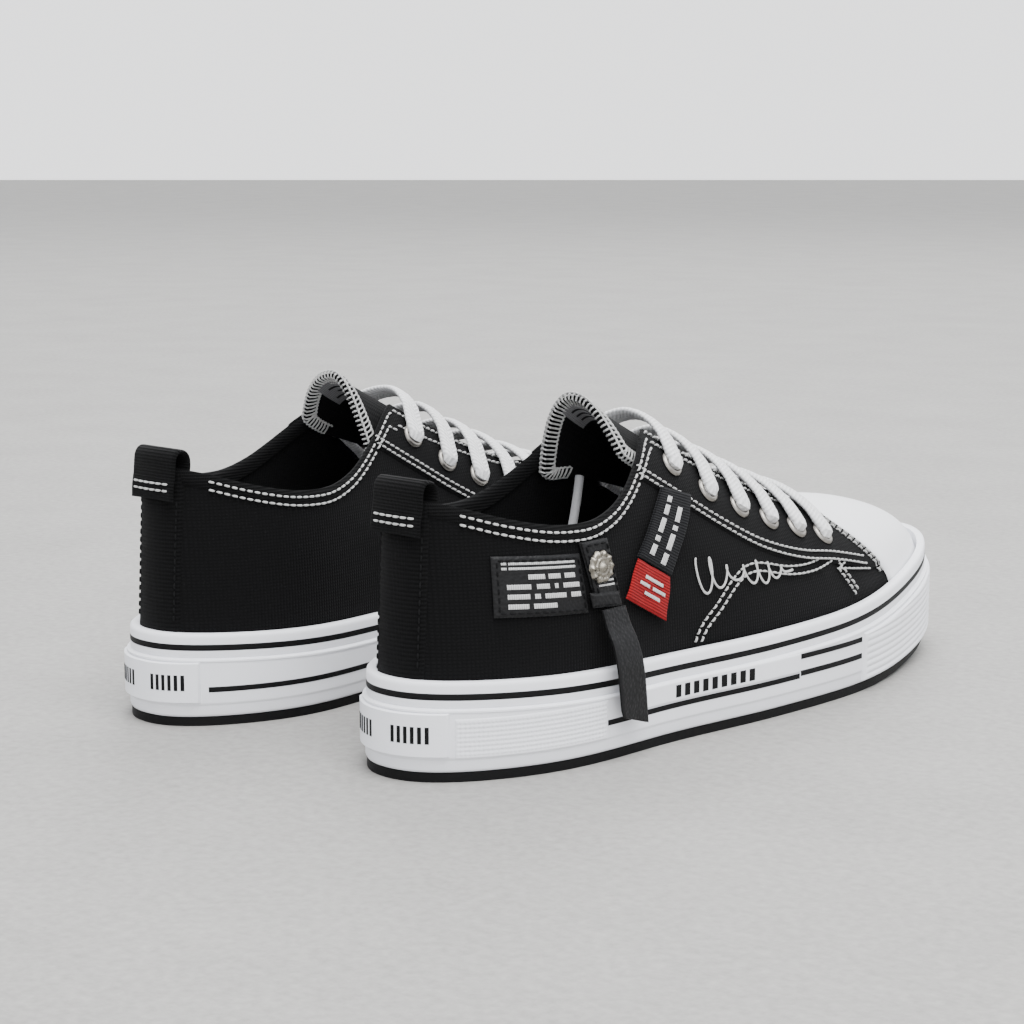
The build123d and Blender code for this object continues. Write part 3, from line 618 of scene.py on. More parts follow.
def sole_band(soup, profile):
    """A closed band round the sole through a profile of (inset, height over y)."""
    t = np.linspace(-1, 1, BAND_STEPS, endpoint=False)
    loops = []
    for inset, height in profile:
        plan = ring_point(t, inset)
        z = height(plan[:, 1])
        loops.append(np.concatenate([plan, z[:, None]], 1))
    soup.ring(np.array(loops))


def above_spring(height):
    return lambda y: spring(y) + height


def below_rand(drop):
    return lambda y: rand_top(y) - drop


def sole_patch(soup, start, stop, low, high, rows, columns, proud, depth=0.6, relief=None, edge=0.5):
    """A plate on the sidewall from t = start to stop, between two heights, with rounded edges."""
    ends = ring_point(np.array([start, stop]), 0.0)
    t = start + (stop - start) * fine_ends(columns, float(np.linalg.norm(ends[1] - ends[0])), edge)
    tall = float(np.mean(high(ends[:, 1]) - low(ends[:, 1])))
    t, v = np.meshgrid(t, fine_ends(rows, tall, edge))
    plan = ring_point(t, 0.0)
    bottom, top = low(plan[..., 1]), high(plan[..., 1])
    z = bottom + (top - bottom) * v
    run = np.broadcast_to(run_along(plan[0]), t.shape)
    inside = np.minimum.reduce([z - bottom, top - z, run, run[0, -1] - run])
    out = proud * np.sqrt(np.clip(inside / edge, 0, 1)) - 0.02
    if relief is not None:
        out = out + relief(run, z - bottom) * np.clip((inside - edge) / edge, 0, 1)
    outer = np.concatenate([ring_point(t, -out), z[..., None]], -1)
    inner = np.concatenate([ring_point(t, np.full(t.shape, depth)), z[..., None]], -1)
    soup.shell(outer, inner, uv=np.stack([run, z], -1))


def side_share(y):
    return float(share_of(y, 0.0))


def make_foxing(shoe):
    soup = Soup()
    low = [(1.5, 3.02), (0.85, 3.3), (0.5, 4.1), (0.5, 6.7), (0.42, 7.1), (0.05, 7.5), (0.0, 8.0)]
    high = [(0.0, 11.0), (0.02, 9.1), (0.3, 8.35), (1.1, 8.02), (FOXING_THICK - 0.05, 8.02)]
    profile = [(inset, above_spring(height)) for inset, height in low]
    profile += [(inset, below_rand(drop)) for inset, drop in high]
    sole_band(soup, profile + [(FOXING_THICK - 0.05, above_spring(3.02))])
    soup.make("foxing", shoe, rubber_white)
    detail = Soup()
    # A raised rib runs all round, under the rand.
    rib = [(0.4, 8.3), (-0.3, 8.5), (-0.35, 9.0), (0.4, 9.4)]
    sole_band(detail, [(inset, below_rand(drop)) for inset, drop in rib])

    def diamonds(run, up):
        pitch = 1.4
        wave = np.sin(np.pi * (run + up) / pitch) * np.sin(np.pi * (run - up) / pitch)
        return 0.15 * wave

    ends = side_share(LABEL_START + 1.2), side_share(TEXTURE_END)
    low, high = above_spring(7.4), above_spring(19.6)
    sole_patch(detail, *ends, low, high, 64, 240, 0.35, relief=diamonds)
    detail.make("foxing_texture", shoe, rubber_white)


def make_rand(shoe):
    soup = Soup()
    profile = [(1.25, 8.0), (1.0, 7.6), (RAND_INSET, 5.6), (1.7, 5.5), (1.7, 3.6), (RAND_INSET, 3.5)]
    profile += [(1.02, 1.4), (1.25, 0.5), (1.8, 0.05), (3.4, 0.0), (RAND_INNER, 0.1), (RAND_INNER, 8.0)]
    sole_band(soup, [(inset, below_rand(drop)) for inset, drop in profile])
    soup.make("rand", shoe, rubber_white)


def make_stripes(shoe):
    soup = Soup()
    stripe = [(1.75, 5.48), (1.0, 5.48), (0.92, 5.2), (0.92, 3.9), (1.0, 3.62), (1.75, 3.62)]
    sole_band(soup, [(inset, below_rand(drop)) for inset, drop in stripe])
    lines = [
        (side_share(TEXTURE_END), side_share(PANEL_END), 11.4, 13.2),
        (side_share(PANEL_END + 0.6), side_share(BUMPER_START - 1), 17.9, 19.7),
        (side_share(PANEL_END + 0.6), side_share(BUMPER_START - 1), 12.1, 14.0),
        (-side_share(BUMPER_START - 1), -side_share(LABEL_START + 2), 11.4, 13.2),
    ]
    for start, stop, low, high in lines:
        sole_patch(soup, start, stop, above_spring(low), above_spring(high), 7, 110, 0.28, edge=0.25)
    soup.make("sole_stripes", shoe, rubber_black)


def dashes(soup, start, stop, low, high, shares, proud):
    """A row of plain bars on a label, each a share of its length from start to stop."""
    for begin, end in shares:
        ends = (start + (stop - start) * begin, start + (stop - start) * end)
        sole_patch(soup, *ends, above_spring(low), above_spring(high), 4, 10, proud, depth=0.2, edge=0.12)


def make_labels(shoe):
    plate = Soup()
    start = side_share(LABEL_START)
    sole_patch(plate, -start, start, above_spring(8.0), above_spring(21.6), 20, 140, 1.25, edge=0.35)
    plate.make("heel_label", shoe, rubber_white)
    panel = Soup()
    ends = (side_share(PANEL_START), side_share(PANEL_END))
    sole_patch(panel, *ends, above_spring(13.6), above_spring(20.2), 14, 160, 0.6, edge=0.3)
    panel.make("side_panel", shoe, rubber_white)
    marks = Soup()
    for begin, end, blocks in ((0.1, 0.42, 6), (0.58, 0.9, 6)):
        pitch = (end - begin) / blocks
        bars = [(begin + pitch * i, begin + pitch * (i + 0.62)) for i in range(blocks)]
        dashes(marks, -start, start, 12.2, 17.6, bars, 1.37)
    bars = [(0.27 + 0.052 * i, 0.303 + 0.052 * i) for i in range(9)]
    dashes(marks, *ends, 14.8, 19.0, bars, 0.72)
    marks.make("label_marks", shoe, rubber_black)


def make_bumper(shoe):
    soup = Soup()

    def ribs(run, up):
        return 0.38 * np.abs(np.sin(np.pi * up / 2.3)) - 0.2

    # The outline is followed from the lateral side round the toe to the medial side.
    t = side_share(BUMPER_START)
    low, high = above_spring(4.0), below_rand(RAND_TALL + 1.5)
    for start, stop in ((t, 1.0), (-t, -1.0)):
        sole_patch(soup, start, stop, low, high, 72, 150, 1.2, relief=ribs)
    soup.make("toe_bumper", shoe, rubber_white)


def make_outsole(shoe):
    rows, columns = 210, 90
    share = np.linspace(0.004, 0.996, rows)[:, None]
    v = np.linspace(0, 1, columns)[None, :]
    y = station(share, OUTSOLE_INSET) + 0 * v
    left, right = -half_width(y, -1, OUTSOLE_INSET), half_width(y, 1, OUTSOLE_INSET)
    x = left + (right - left) * v
    edge = np.minimum(v, 1 - v) * (right - left)
    inside = np.minimum.reduce([edge, y - OUTSOLE_INSET, LENGTH - OUTSOLE_INSET - y])
    wave = np.cos(2 * np.pi * (x + y) / 11) * np.cos(2 * np.pi * (x - y) / 11)
    groove = np.clip(0.5 - 1.6 * wave, 0, 1) * np.clip((inside - 5) / 1.5, 0, 1)
    bottom = np.stack([x, y, spring(y) + 1.1 * groove], -1)
    top = np.stack([x, y, spring(y) + OUTSOLE_THICK], -1)
    soup = Soup()
    soup.shell(bottom, top, uv=np.stack([x, y], -1))
    soup.make("outsole", shoe, rubber_black)


def make_sockliner(shoe):
    rows, columns = 150, 60
    inset = 8.6
    share = np.linspace(0.002, 0.998, rows)[:, None]
    v = np.linspace(-1, 1, columns)[None, :]
    y = station(share, inset) + 0 * v
    side = np.where(v < 0, -1.0, 1.0) + 0 * y
    x = v * half_width(y, side, inset)
    rim = np.clip((1 - np.abs(v)) / 0.25, 0, 1)
    cup = 1.5 * (1 - rim) ** 2 * np.clip((150 - y) / 60, 0, 1)
    crown = 0.5 * np.sin(y / 9.0) * np.sin(x / 7.0) * 0.3
    top = np.stack([x, y, SOCKLINER_TOP(y) + spring(y) + cup + crown], -1)
    bottom = np.stack([x, y, spring(y) + 14.2], -1)
    soup = Soup()
    soup.shell(top, bottom, uv=np.stack([x, y], -1))
    # Its grey is a light grey darkened as painted shade of the inside of the shoe.
    made = soup.make("sockliner", shoe, sock_grey_painted_shade)


# ---- canvas
def seam_distance(points):
    """Distance of (y, z) points from the vamp's seam, positive on the quarter's side."""
    line = curve(VAMP_SEAM, 160)
    flat = points.reshape(-1, 2)
    away = flat[:, None] - line[None]
    nearest = np.argmin((away**2).sum(-1), 1)
    tangent = np.gradient(line, axis=0)[nearest]
    offset = flat - line[nearest]
    cross = tangent[:, 0] * offset[:, 1] - tangent[:, 1] * offset[:, 0]
    return (np.sign(cross) * np.linalg.norm(offset, axis=1)).reshape(points.shape[:-1])


def cloth_swell(y, z, side):
    """Soft waves of the cloth between its seams."""
    waves = 0.3 * np.sin(y / 17.0 + side) * np.sin(z / 11.0 + y / 45.0)
    pulls = 0.22 * np.sin((y + 1.6 * z) / 6.3) * np.exp(-(((y - 100) / 26) ** 2) - ((z - 55) / 18) ** 2)
    creases = 0.35 * np.sin((y - 0.5 * z) / 3.4) * np.exp(-(((y - 178) / 14) ** 2) - ((z - 52) / 9) ** 2)
    return (waves + pulls + creases) * np.clip((206 - y) / 12, 0, 1)


def make_canvas(shoe):
    rows, columns = 170, 46
    share = np.linspace(0.0, share_of(228.0), rows)[:, None]
    row = station(share, UPPER_INSET)
    quarters, vamp = {}, Soup()
    for side in (1, -1):
        start = turn_at_height(row, rand_top(row) - 5.0)
        end = top_turn(row, side, 0.8)
        turn = start + (end - start) * np.linspace(0, 1, columns)[None, :]
        flat = at_share(share, turn, side, 0.0)
        away = seam_distance(flat[..., 1:])
        step = 0.55 * np.clip(away / 0.9 + 0.5, 0, 1)
        out = cloth_swell(flat[..., 1], flat[..., 2], side) + step - 0.35
        outer = at_share(share, turn, side, out)
        inner = at_share(share, turn, side, out * 0.5 - CANVAS)
        uv = flat[..., 1:]
        middle = (away[1:, 1:] + away[:-1, :-1]) / 2
        quarters[side] = Soup()
        quarters[side].shell(outer, inner, middle > 0, uv)
        vamp.shell(outer, inner, middle <= 0, uv)
    quarters[1].make("lateral_quarter", shoe, canvas_black)
    quarters[-1].make("medial_quarter", shoe, canvas_black)
    vamp.make("vamp", shoe, canvas_black)


def cap_start(turn, side):
    """The y of the toe cap's edge at each turn of the section."""
    y = np.full(np.shape(turn), 200.0)
    for _ in range(30):
        y = 0.5 * y + 0.5 * CAP_EDGE(at_row(y, turn, side, OVERLAY)[..., 2])
    return y


def make_toe_cap(shoe):
    soup = Soup()
    rows, columns = 90, 90
    around = np.linspace(0.02, np.pi - 0.02, columns)[None, :]
    side = np.where(around < np.pi / 2, 1.0, -1.0)
    turn = np.minimum(around, np.pi - around)
    first = share_of(cap_start(turn, side))
    share = first + (0.985 - first) * np.linspace(0, 1, rows)[:, None]
    run = (share - first) * LENGTH
    edge = np.clip(run / 1.0, 0, 1)
    out = 0.25 + (OVERLAY - 0.25) * np.sqrt(edge)
    out = out + 0.12 * np.exp(-(((run - 3.2) / 1.2) ** 2))
    side = side + 0 * share
    outer = at_share(share, turn, side, out)
    inner = at_share(share, turn, side, 0.1)
    soup.shell(outer, inner, uv=outer[..., :2])
    soup.make("toe_cap", shoe, cap_white)


def make_eyestays(shoe):
    soup = Soup()
    for side in (1, -1):
        v = np.linspace(0, 1, 26)[None, :]
        u = np.linspace(0, 1, 130)[:, None]
        front = 200.0 + 0 * v
        for _ in range(20):
            row = EYESTAY_START + (front - EYESTAY_START) * u
            low = turn_at_height(row, EYESTAY_LOW(row), OVERLAY)
            ahead = turn_at_width(row, EYESTAY_GAP[side], side)
            high = np.maximum(np.where(row > EYESTAY_FRONT, ahead, top_turn(row, side)), low)
            turn = low + (high - low) * v
            front = 0.5 * front + 0.5 * (CAP_EDGE(at_row(row, turn, side, 0.0)[-1:, :, 2]) - 0.4)
        width = (high - low) * 55
        inside = np.minimum.reduce([v * width, (1 - v) * width, (row - EYESTAY_START) * 0.9 + 0.2])
        out = 0.35 + (OVERLAY - 0.35) * np.sqrt(np.clip(inside / 0.8, 0, 1))
        out = out + 0.6 * cloth_swell(row, at_row(row, turn, side, 0.0)[..., 2], side)
        outer = at_row(row, turn, side, out)
        inner = at_row(row, turn, side, 0.0 * out)
        soup.shell(outer, inner, uv=outer[..., 1:])
    soup.make("eyestays", shoe, canvas_black)


# The folded tape's section as (out, drop below the edge).
BINDING = [
    (0.0, 5.4), (0.75, 5.0), (1.0, 3.4), (0.95, 1.3), (0.35, 0.15), (-0.8, -0.25), (-1.9, 0.2), (-2.35, 1.4),
    (-2.35, 4.6), (-1.7, 5.3)
]


def make_binding(shoe):
    soup = Soup()
    shares = np.linspace(0, share_of(COLLAR_END), 90)
    share = np.concatenate([shares[::-1], shares[1:]])
    side = np.concatenate([-np.ones(len(shares)), np.ones(len(shares) - 1)])
    lines = []
    for out, drop in BINDING:
        row = station(share, UPPER_INSET - out)
        lines.append(at_share(share, top_turn(row, side, drop + 0.2), side, out))
    lines = np.array(lines)
    middle = lines.mean(0)
    # Each end is drawn in, to close the tape.
    lines[:, 0] = middle[0] + 0.02 * (lines[:, 0] - middle[0])
    lines[:, -1] = middle[-1] + 0.02 * (lines[:, -1] - middle[-1])
    soup.sleeve(lines.swapaxes(0, 1)[None])
    soup.make("collar_binding", shoe, binding_black)


def heel_skin(x, z, out):
    """The last's surface at the back of the heel, at the width x and the height z."""
    side = np.where(x < 0, -1.0, 1.0)
    low, high = np.zeros(np.shape(x)), np.full(np.shape(x), 0.3)
    for _ in range(40):
        share = (low + high) / 2
        row = station(share, UPPER_INSET - out)
        wide = np.abs(at_row(row, turn_at_height(row, z, out), side, out)[..., 0])
        low, high = np.where(wide < np.abs(x), share, low), np.where(wide < np.abs(x), high, share)
    return with_x(at_row(row, turn_at_height(row, z, out), side, out), x)


def make_backstay(shoe):
    soup = Soup()
    x, z = np.meshgrid(np.linspace(-BACKSTAY_HALF, BACKSTAY_HALF, 40), np.linspace(27.0, 83.0, 60))
    edge = np.clip((BACKSTAY_HALF - np.abs(x)) / 0.9, 0, 1)
    out = 0.25 + (OVERLAY - 0.25) * np.sqrt(edge) + 0.15 * np.sin(z / 9) * edge
    soup.shell(heel_skin(x, z, out), heel_skin(x, z, 0 * x), uv=np.stack([z, x], -1))
    soup.make("backstay", shoe, webbing_black)


LOOP_PATH = [
    (4.9, 74.2), (5.2, 80.0), (5.6, 84.5), (6.1, 88.2), (7.6, 90.0), (9.6, 90.1), (11.4, 88.8), (12.0, 86.2),
    (11.6, 83.0), (11.0, 79.5)
]


def make_pull_loop(shoe):
    soup = Soup()
    path = curve(LOOP_PATH, 60)
    normal = unit(np.gradient(path, axis=0)[:, ::-1] * [-1, 1])
    x = np.linspace(-LOOP_HALF, LOOP_HALF, 34)[None, :] + 0 * path[:, :1]
    bow = 1.1 * (x / LOOP_HALF) ** 2 * np.clip((path[:, 1:] - 74) / 8, 0.5, 1)
    edge = np.sqrt(np.clip((LOOP_HALF - np.abs(x)) / 0.7, 0.05, 1))
    sheets = []
    for depth in (0.62, -0.62):
        y = path[:, :1] + depth * edge * normal[:, :1] + bow
        z = path[:, 1:] + depth * edge * normal[:, 1:] - 0.25 * (x / LOOP_HALF) ** 2
        sheets.append(np.stack([x, y, z], -1))
    run = np.linspace(0, 40, 60)[:, None] + 0 * x
    soup.shell(*sheets, uv=np.stack([run, x], -1))
    made = soup.make("pull_loop", shoe, webbing_black, body=None)
    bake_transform(made)


# ---- tongue
def tongue_half(y, side):
    lateral = smooth((86, 17.0), (92, 18.0), (100, 18.5), (110, 18.5), (190, 18.0))(y)
    medial = smooth((86, 15.0), (92, 15.5), (100, 14.8), (110, 14.2), (190, 14.0))(y)
    return np.where(np.asarray(side) > 0, lateral, medial)


def tongue_spot(u, v):
    """(x, y) of the tongue at u from its tip to its root and v from its medial to its lateral edge."""
    y = TONGUE_TIP + (TONGUE_END - TONGUE_TIP) * u + 3.5 * np.abs(v) ** 4 * (1 - u) ** 8
    return v * tongue_half(y, v), y


def tongue_middle(x, y):
    side, out = np.where(x < 0, -1.0, 1.0), (TONGUE_TOP + TONGUE_LOW) / 2
    return with_x(at_row(y, turn_at_width(y, x, side, out), side, out), x)


def tongue_normal(x, y):
    step = 0.4
    across = tongue_middle(x + step, y) - tongue_middle(x - step, y)
    ahead = tongue_middle(x, y + step) - tongue_middle(x, y - step)
    return unit(np.cross(across, ahead))


def tongue_point(x, y, height):
    """A point at a height over the middle of the tongue's thickness, along its normal."""
    return tongue_middle(x, y) + height[..., None] * tongue_normal(x, y)


def blend_tongue(made):
    """Bakes the placement of a piece of the tongue into its mesh; nothing is folded at the CAD model's hinge.
    """
    ahead = unit(np.array([0, 1.0, float(CREST(104.5) - CREST(96.5)) / 8]))
    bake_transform(made)


def make_tongue(shoe):
    soup = Soup()
    u, v = np.meshgrid(np.linspace(0, 1, 130) ** 1.2, np.linspace(-1, 1, 64), indexing="ij")
    x, y = tongue_spot(u, v)
    inside = np.minimum((1 - np.abs(v)) * 40, u * (TONGUE_END - TONGUE_TIP))
    edge = np.sqrt(np.clip(inside / 1.0, 0.04, 1))
    puff = 0.25 * np.sin(y / 8.0) * np.cos(x / 9.0)
    outer = tongue_point(x, y, puff + TONGUE_HALF_THICK * edge)
    inner = tongue_point(x, y, puff - TONGUE_HALF_THICK * edge)
    soup.shell(outer, inner, uv=np.stack([x, y], -1))
    made = soup.make("tongue", shoe, canvas_black, body=None, nodes=["tongue", "tongue_top"])
    blend_tongue(made)


def make_overlock(shoe):
    """White looped stitches that wrap the tongue's edge, and the threads they run between."""
    soup = Soup()
    down, across = np.linspace(0.125, 0, 40), np.linspace(-1, 1, 160)
    u = np.concatenate([down, np.zeros(158), down[::-1]])
    v = np.concatenate([np.full(40, -1.0), across[1:-1], np.full(40, 1.0)])
    x, y = tongue_spot(u, v)
    border = even(np.concatenate([tongue_middle(x, y), tongue_normal(x, y)], 1), OVERLOCK_LOOPS * 4)
    line, normal = border[:, :3], border[:, 3:]
    tangent = unit(np.gradient(line, axis=0))
    way_in = np.cross(tangent, normal)
    way_in *= np.sign(((tongue_middle(np.array(0.0), np.array(98.0)) - line) * way_in).sum(1))[:, None]
    steps = [(OVERLOCK_DEEP, 1.2, 0.8), (2.2, 1.4, 0.3), (0.2, 1.1, 0.0), (-0.45, 0.0, 0.0)]
    steps += [(0.2, -1.1, 0.0), (2.2, -1.4, -0.3), (OVERLOCK_DEEP, -1.2, -0.8)]
    lines = [line + inward * way_in + height * normal + skew * tangent for inward, height, skew in steps]
    lines = np.stack(lines, 1)[::4]
    soup.tubes(lines, 0.34, lines - line[::4, None] + 2 * way_in[::4, None])
    for inward, height in ((OVERLOCK_DEEP, 1.25), (OVERLOCK_DEEP, -1.25), (0.1, 1.25)):
        wiggle = 0.2 * np.sin(np.arange(len(line)) * 1.6)[:, None]
        thread = line + (inward + wiggle) * way_in + height * normal
        soup.tubes(thread[None], 0.34, normal[None])
    blend_tongue(soup.make("tongue_overlock", shoe, thread_white, body=None))


def make_tongue_label(shoe):
    """A plain grey woven label on the tongue's inner face, with rows of bars."""
    label, marks = Soup(), Soup()
    x, y = np.meshgrid(np.linspace(-6.5, 9.5, 18), np.linspace(88.5, 99.0, 14))
    under = tongue_point(x, y, np.full(x.shape, -1.55))
    label.shell(tongue_point(x, y, np.full(x.shape, -0.8)), under, uv=np.stack([x, y], -1))
    blend_tongue(label.make("tongue_label", shoe, label_grey, body=None))
    for row, (start, stop) in enumerate([(-4.5, 6.5), (-4.5, 4.0), (-4.5, 7.5)]):
        x, y = np.meshgrid(np.linspace(start, stop, 12), 91.0 + 2.4 * row + np.linspace(0, 0.7, 3))
        marks.shell(tongue_point(x, y, np.full(x.shape, -1.45)), tongue_point(x, y, np.full(x.shape, -1.66)))
    blend_tongue(marks.make("tongue_label_marks", shoe, thread_black, body=None))


# ---- stitching
def stitch(soup, line, normals, radius=STITCH_RADIUS, lift=0.25):
    """A row of separate stitches along a line of points, whose ends dip into the cloth."""
    run = run_along(line)
    count = max(int(run[-1] / STITCH_PITCH), 1)
    starts = (np.arange(count) + 0.16) * run[-1] / count
    length = STITCH_SHARE * run[-1] / count
    places = starts[:, None] + length * np.array([0, 0.14, 0.5, 0.86, 1.0])
    points = np.stack([np.interp(places, run, axis) for axis in line.T], -1)
    up = unit(np.stack([np.interp(places, run, axis) for axis in normals.T], -1))
    rise = lift * np.array([-1.4, 0.6, 1.1, 0.6, -1.4])
    soup.tubes(points + up * rise[:, None], radius * np.array([0.5, 1, 1.1, 1, 0.5]), up)


def side_line(y, z, side, out):
    """A line on the side of the upper, with its normals."""
    y, z = np.asarray(y, float), np.asarray(z, float)
    return surface(y, z, side, out), surface_normal(y, z, side)


def edge_line(first, last, drop, side, out):
    """A line that runs drop below the collar and on beside the throat."""
    share = np.linspace(share_of(first), share_of(last), 160)
    row = station(share, UPPER_INSET)
    turn = top_turn(row, side, drop)
    points = at_share(share, turn, side, out)
    ahead = np.gradient(points, axis=0)
    upward = at_share(share, turn + 0.01, side, out) - at_share(share, turn - 0.01, side, out)
    normals = np.cross(ahead, upward) * side
    return points, normals


def beside(line, offset):
    """A line of (y, z) points moved sideways by offset."""
    tangent = unit(np.gradient(line, axis=0))
    return line + offset * np.stack([-tangent[:, 1], tangent[:, 0]], -1)


def make_stitching(shoe):
    white = Soup()
    for side in (1, -1):
        for drop in (2.9, 5.6):
            stitch(white, *edge_line(15, 88, drop, side, 1.05))
            stitch(white, *edge_line(88.5, 102, drop, side, 1.35))
            stitch(white, *edge_line(103, 180, drop - 1.0, side, 1.35))
        for rise in (1.1, 3.6):
            y = np.linspace(88.5, 203, 150)
            stitch(white, *side_line(y, EYESTAY_LOW(y) + rise, side, 1.3))
        seam = curve(VAMP_SEAM[1:9], 120)
        for offset in (1.3, 3.9):
            line = beside(seam, offset)
            above = line[:, 1] > rand_top(line[:, 0]) + 0.5
            stitch(white, *side_line(line[above, 0], line[above, 1], side, 0.45))
        for end in ((191.5, 33.5), (206.0, 40.6), (202.5, 48.6)):
            for offset in (-1.2, 1.2):
                line = beside(np.linspace((184.0, 44.0), end, 30), offset)
                stitch(white, *side_line(line[:, 0], line[:, 1], side, 0.35))
        for back in (1.4, 3.8):
            z = np.linspace(37, 64, 60)
            stitch(white, *side_line(CAP_EDGE(z) - back, z, side, np.where(z > 40.5, 1.4, 0.35)))
    for z in (79.6, 77.4):
        x = np.linspace(-8.6, 8.6, 40)
        line = np.stack([x, 4.15 + 1.1 * (x / LOOP_HALF) ** 2 + (z - 78) * 0.05, 0 * x + z], -1)
        stitch(white, line, np.tile([0, -1.0, 0], (40, 1)))
    white.make("stitching", shoe, thread_white)
    black = Soup()
    for x in (-8.6, 8.6):
        z = np.linspace(34, 74, 60)
        line = heel_skin(np.full(60, x), z, 1.35)
        stitch(black, line, np.tile([0, -1.0, 0], (60, 1)), radius=0.26, lift=0.06)
    black.make("heel_stitching", shoe, thread_black)


def make_embroidery(shoe):
    """A plain looping wave in thick white thread on the outer side."""
    soup = Soup()
    t = np.linspace(0, 1, 400)
    swing = 2 * np.pi * (6.6 * t + 0.12 * np.sin(9 * t))
    y = 108 + 47 * t - (1.9 - 0.9 * t) * np.sin(swing)
    size = (4.4 - 2.6 * t) * (1 + 0.4 * np.sin(11 * t + 0.6)) * np.clip((1 - t) / 0.12, 0, 1)
    z = 51.0 - 4.6 * t + size * np.cos(swing)
    line, normals = side_line(y, z, 1, 0.75)
    soup.tubes(line[None], 0.42, normals[None], flat=0.7)
    soup.make("embroidery", shoe, thread_white)


# ---- eyelets and lace
def spot(y, z, side, out=0.0):
    """A point of the upper, its normal there and two directions square to that."""
    y, z = np.array(y), np.array(z)
    normal = surface_normal(y, z, side)
    along = unit(np.cross(normal, [0, 0, 1.0]))
    return surface(y, z, side, out), normal, along, np.cross(normal, along)


def eyelet_frame(y, side):
    return spot(y, float(EYELET_LINE(y)), side)


# An eyelet's section as (radius, height).
EYELET_PROFILE = [
    (2.45, -2.0), (2.45, 1.0), (2.6, 1.9), (3.1, 2.45), (3.7, 2.45), (4.25, 2.05), (4.45, 1.45), (4.3, 1.25),
    (3.0, 1.25), (2.95, -2.0)
]


def make_eyelets(shoe):
    soup = Soup()
    angle = 2 * np.pi * np.arange(32) / 32
    for y in EYELET_YS:
        for side in (1, -1):
            centre, normal, along, across = eyelet_frame(y, side)
            spoke = np.cos(angle)[:, None] * along + np.sin(angle)[:, None] * across
            soup.ring([centre + r * spoke + h * normal for r, h in EYELET_PROFILE])
    soup.make("eyelets", shoe, nickel)


def bar_crest(eyelet_y):
    """The crest's y and slope where a section square to it passes through an eyelet."""
    y = eyelet_y
    for _ in range(12):
        slope = float(CREST(y + 1) - CREST(y - 1)) / 2
        y = eyelet_y - slope * float(CREST(y) - EYELET_LINE(eyelet_y)) * 0.95
    return y, slope


def arch(crest_y, slope, turn, side, out):
    """Points over the throat in the section square to the crest."""
    low, high = np.full(turn.shape, crest_y - 50.0), np.full(turn.shape, crest_y + 20.0)
    for _ in range(40):
        y = (low + high) / 2
        past = (y - crest_y) + (at_row(y, turn, side, out)[..., 2] - CREST(crest_y)) * slope > 0
        low, high = np.where(past, low, y), np.where(past, y, high)
    return at_row(y, turn, side, out)


LACE_LEAN = (0.9, -0.6, 1.1, -0.9, 0.5, -0.4)  # how far each bar strays along the throat
LACE_PLUMP = (1.05, 0.97, 1.08, 0.95, 1.03, 1.0)


def lace_bar(soup, i):
    y = EYELET_YS[i]
    crest_y, slope = bar_crest(y)
    wide = np.array([0, 1, slope]) / math.hypot(1, slope)
    ends = {side: eyelet_frame(y, side) for side in (1, -1)}
    turn = np.linspace(0.35, np.pi - 0.35, 90)
    side = np.where(turn < np.pi / 2, 1.0, -1.0)
    over = arch(crest_y, slope, np.minimum(turn, np.pi - turn), side, 3.3)
    reach = np.where(side > 0, ends[1][0][0] - 3.2, -ends[-1][0][0] - 3.2)
    over = over[np.abs(over[:, 0]) < reach][::3]
    path = [ends[1][0] + ends[1][1] * h for h in (-3.2, -0.4, 1.6, 3.0)]
    path += list(over + wide * LACE_LEAN[i] * np.sin(np.linspace(0, np.pi, len(over)))[:, None])
    path += [ends[-1][0] + ends[-1][1] * h for h in (3.0, 1.6, -0.4, -3.2)]
    path = curve(path, 90)
    run = run_along(path)
    near = np.minimum(run, run[-1] - run)
    wide_half = smooth((0, 1.9), (4.0, 2.5), (8.0, 3.7), (12, 4.1))(near) * LACE_PLUMP[i]
    thick_half = smooth((0, 1.7), (4.0, 1.9), (9, 1.6), (14, 1.25))(near)
    up = unit(np.cross(wide, unit(np.gradient(path, axis=0))))
    if up[45, 2] < 0:
        up = -up
    angle = 2 * np.pi * np.arange(20) / 20
    flat_cos = np.sign(np.cos(angle)) * np.abs(np.cos(angle)) ** 0.8
    flat_sin = np.sign(np.sin(angle)) * np.abs(np.sin(angle)) ** 0.8
    strands = 1 + 0.045 * np.sin(run[:, None] * 2.1 + 2.0 * np.abs(flat_cos) * 2)
    points = path[:, None] + wide * (wide_half[:, None] * flat_cos)[..., None]
    points = points + up[:, None] * (thick_half[:, None] * flat_sin * strands)[..., None]
    uv = np.stack([wide_half[:, None] * flat_cos, run[:, None] + 0 * flat_cos], -1)
    soup.sleeve(points[None], uv)


def make_lace(shoe):
    soup = Soup()
    for i in range(len(EYELET_YS)):
        lace_bar(soup, i)
    for i in range(len(EYELET_YS) - 1):
        side = 1 if i % 2 == 0 else -1
        frames = [eyelet_frame(EYELET_YS[j], side) for j in (i, i + 1)]
        ends = [centre - 2.9 * normal for centre, normal, _, _ in frames]
        line = np.linspace(ends[0], ends[1], 10)
        soup.tubes(line[None], 1.6, np.tile(frames[0][1], (1, 10, 1)), flat=0.45, sides=8)
    soup.make("lace", shoe, lace_white)


END_ROUTE = [
    (-9.0, 101.0, 79.5), (-6.5, 96.5, 70.5), (-4.5, 90.0, 58.0), (-1.0, 82.0, 42.0), (3.0, 70.0, 27.5),
    (9.0, 54.0, 22.6), (15.0, 38.0, 22.4)
]
END_RADIUS = 0.0015


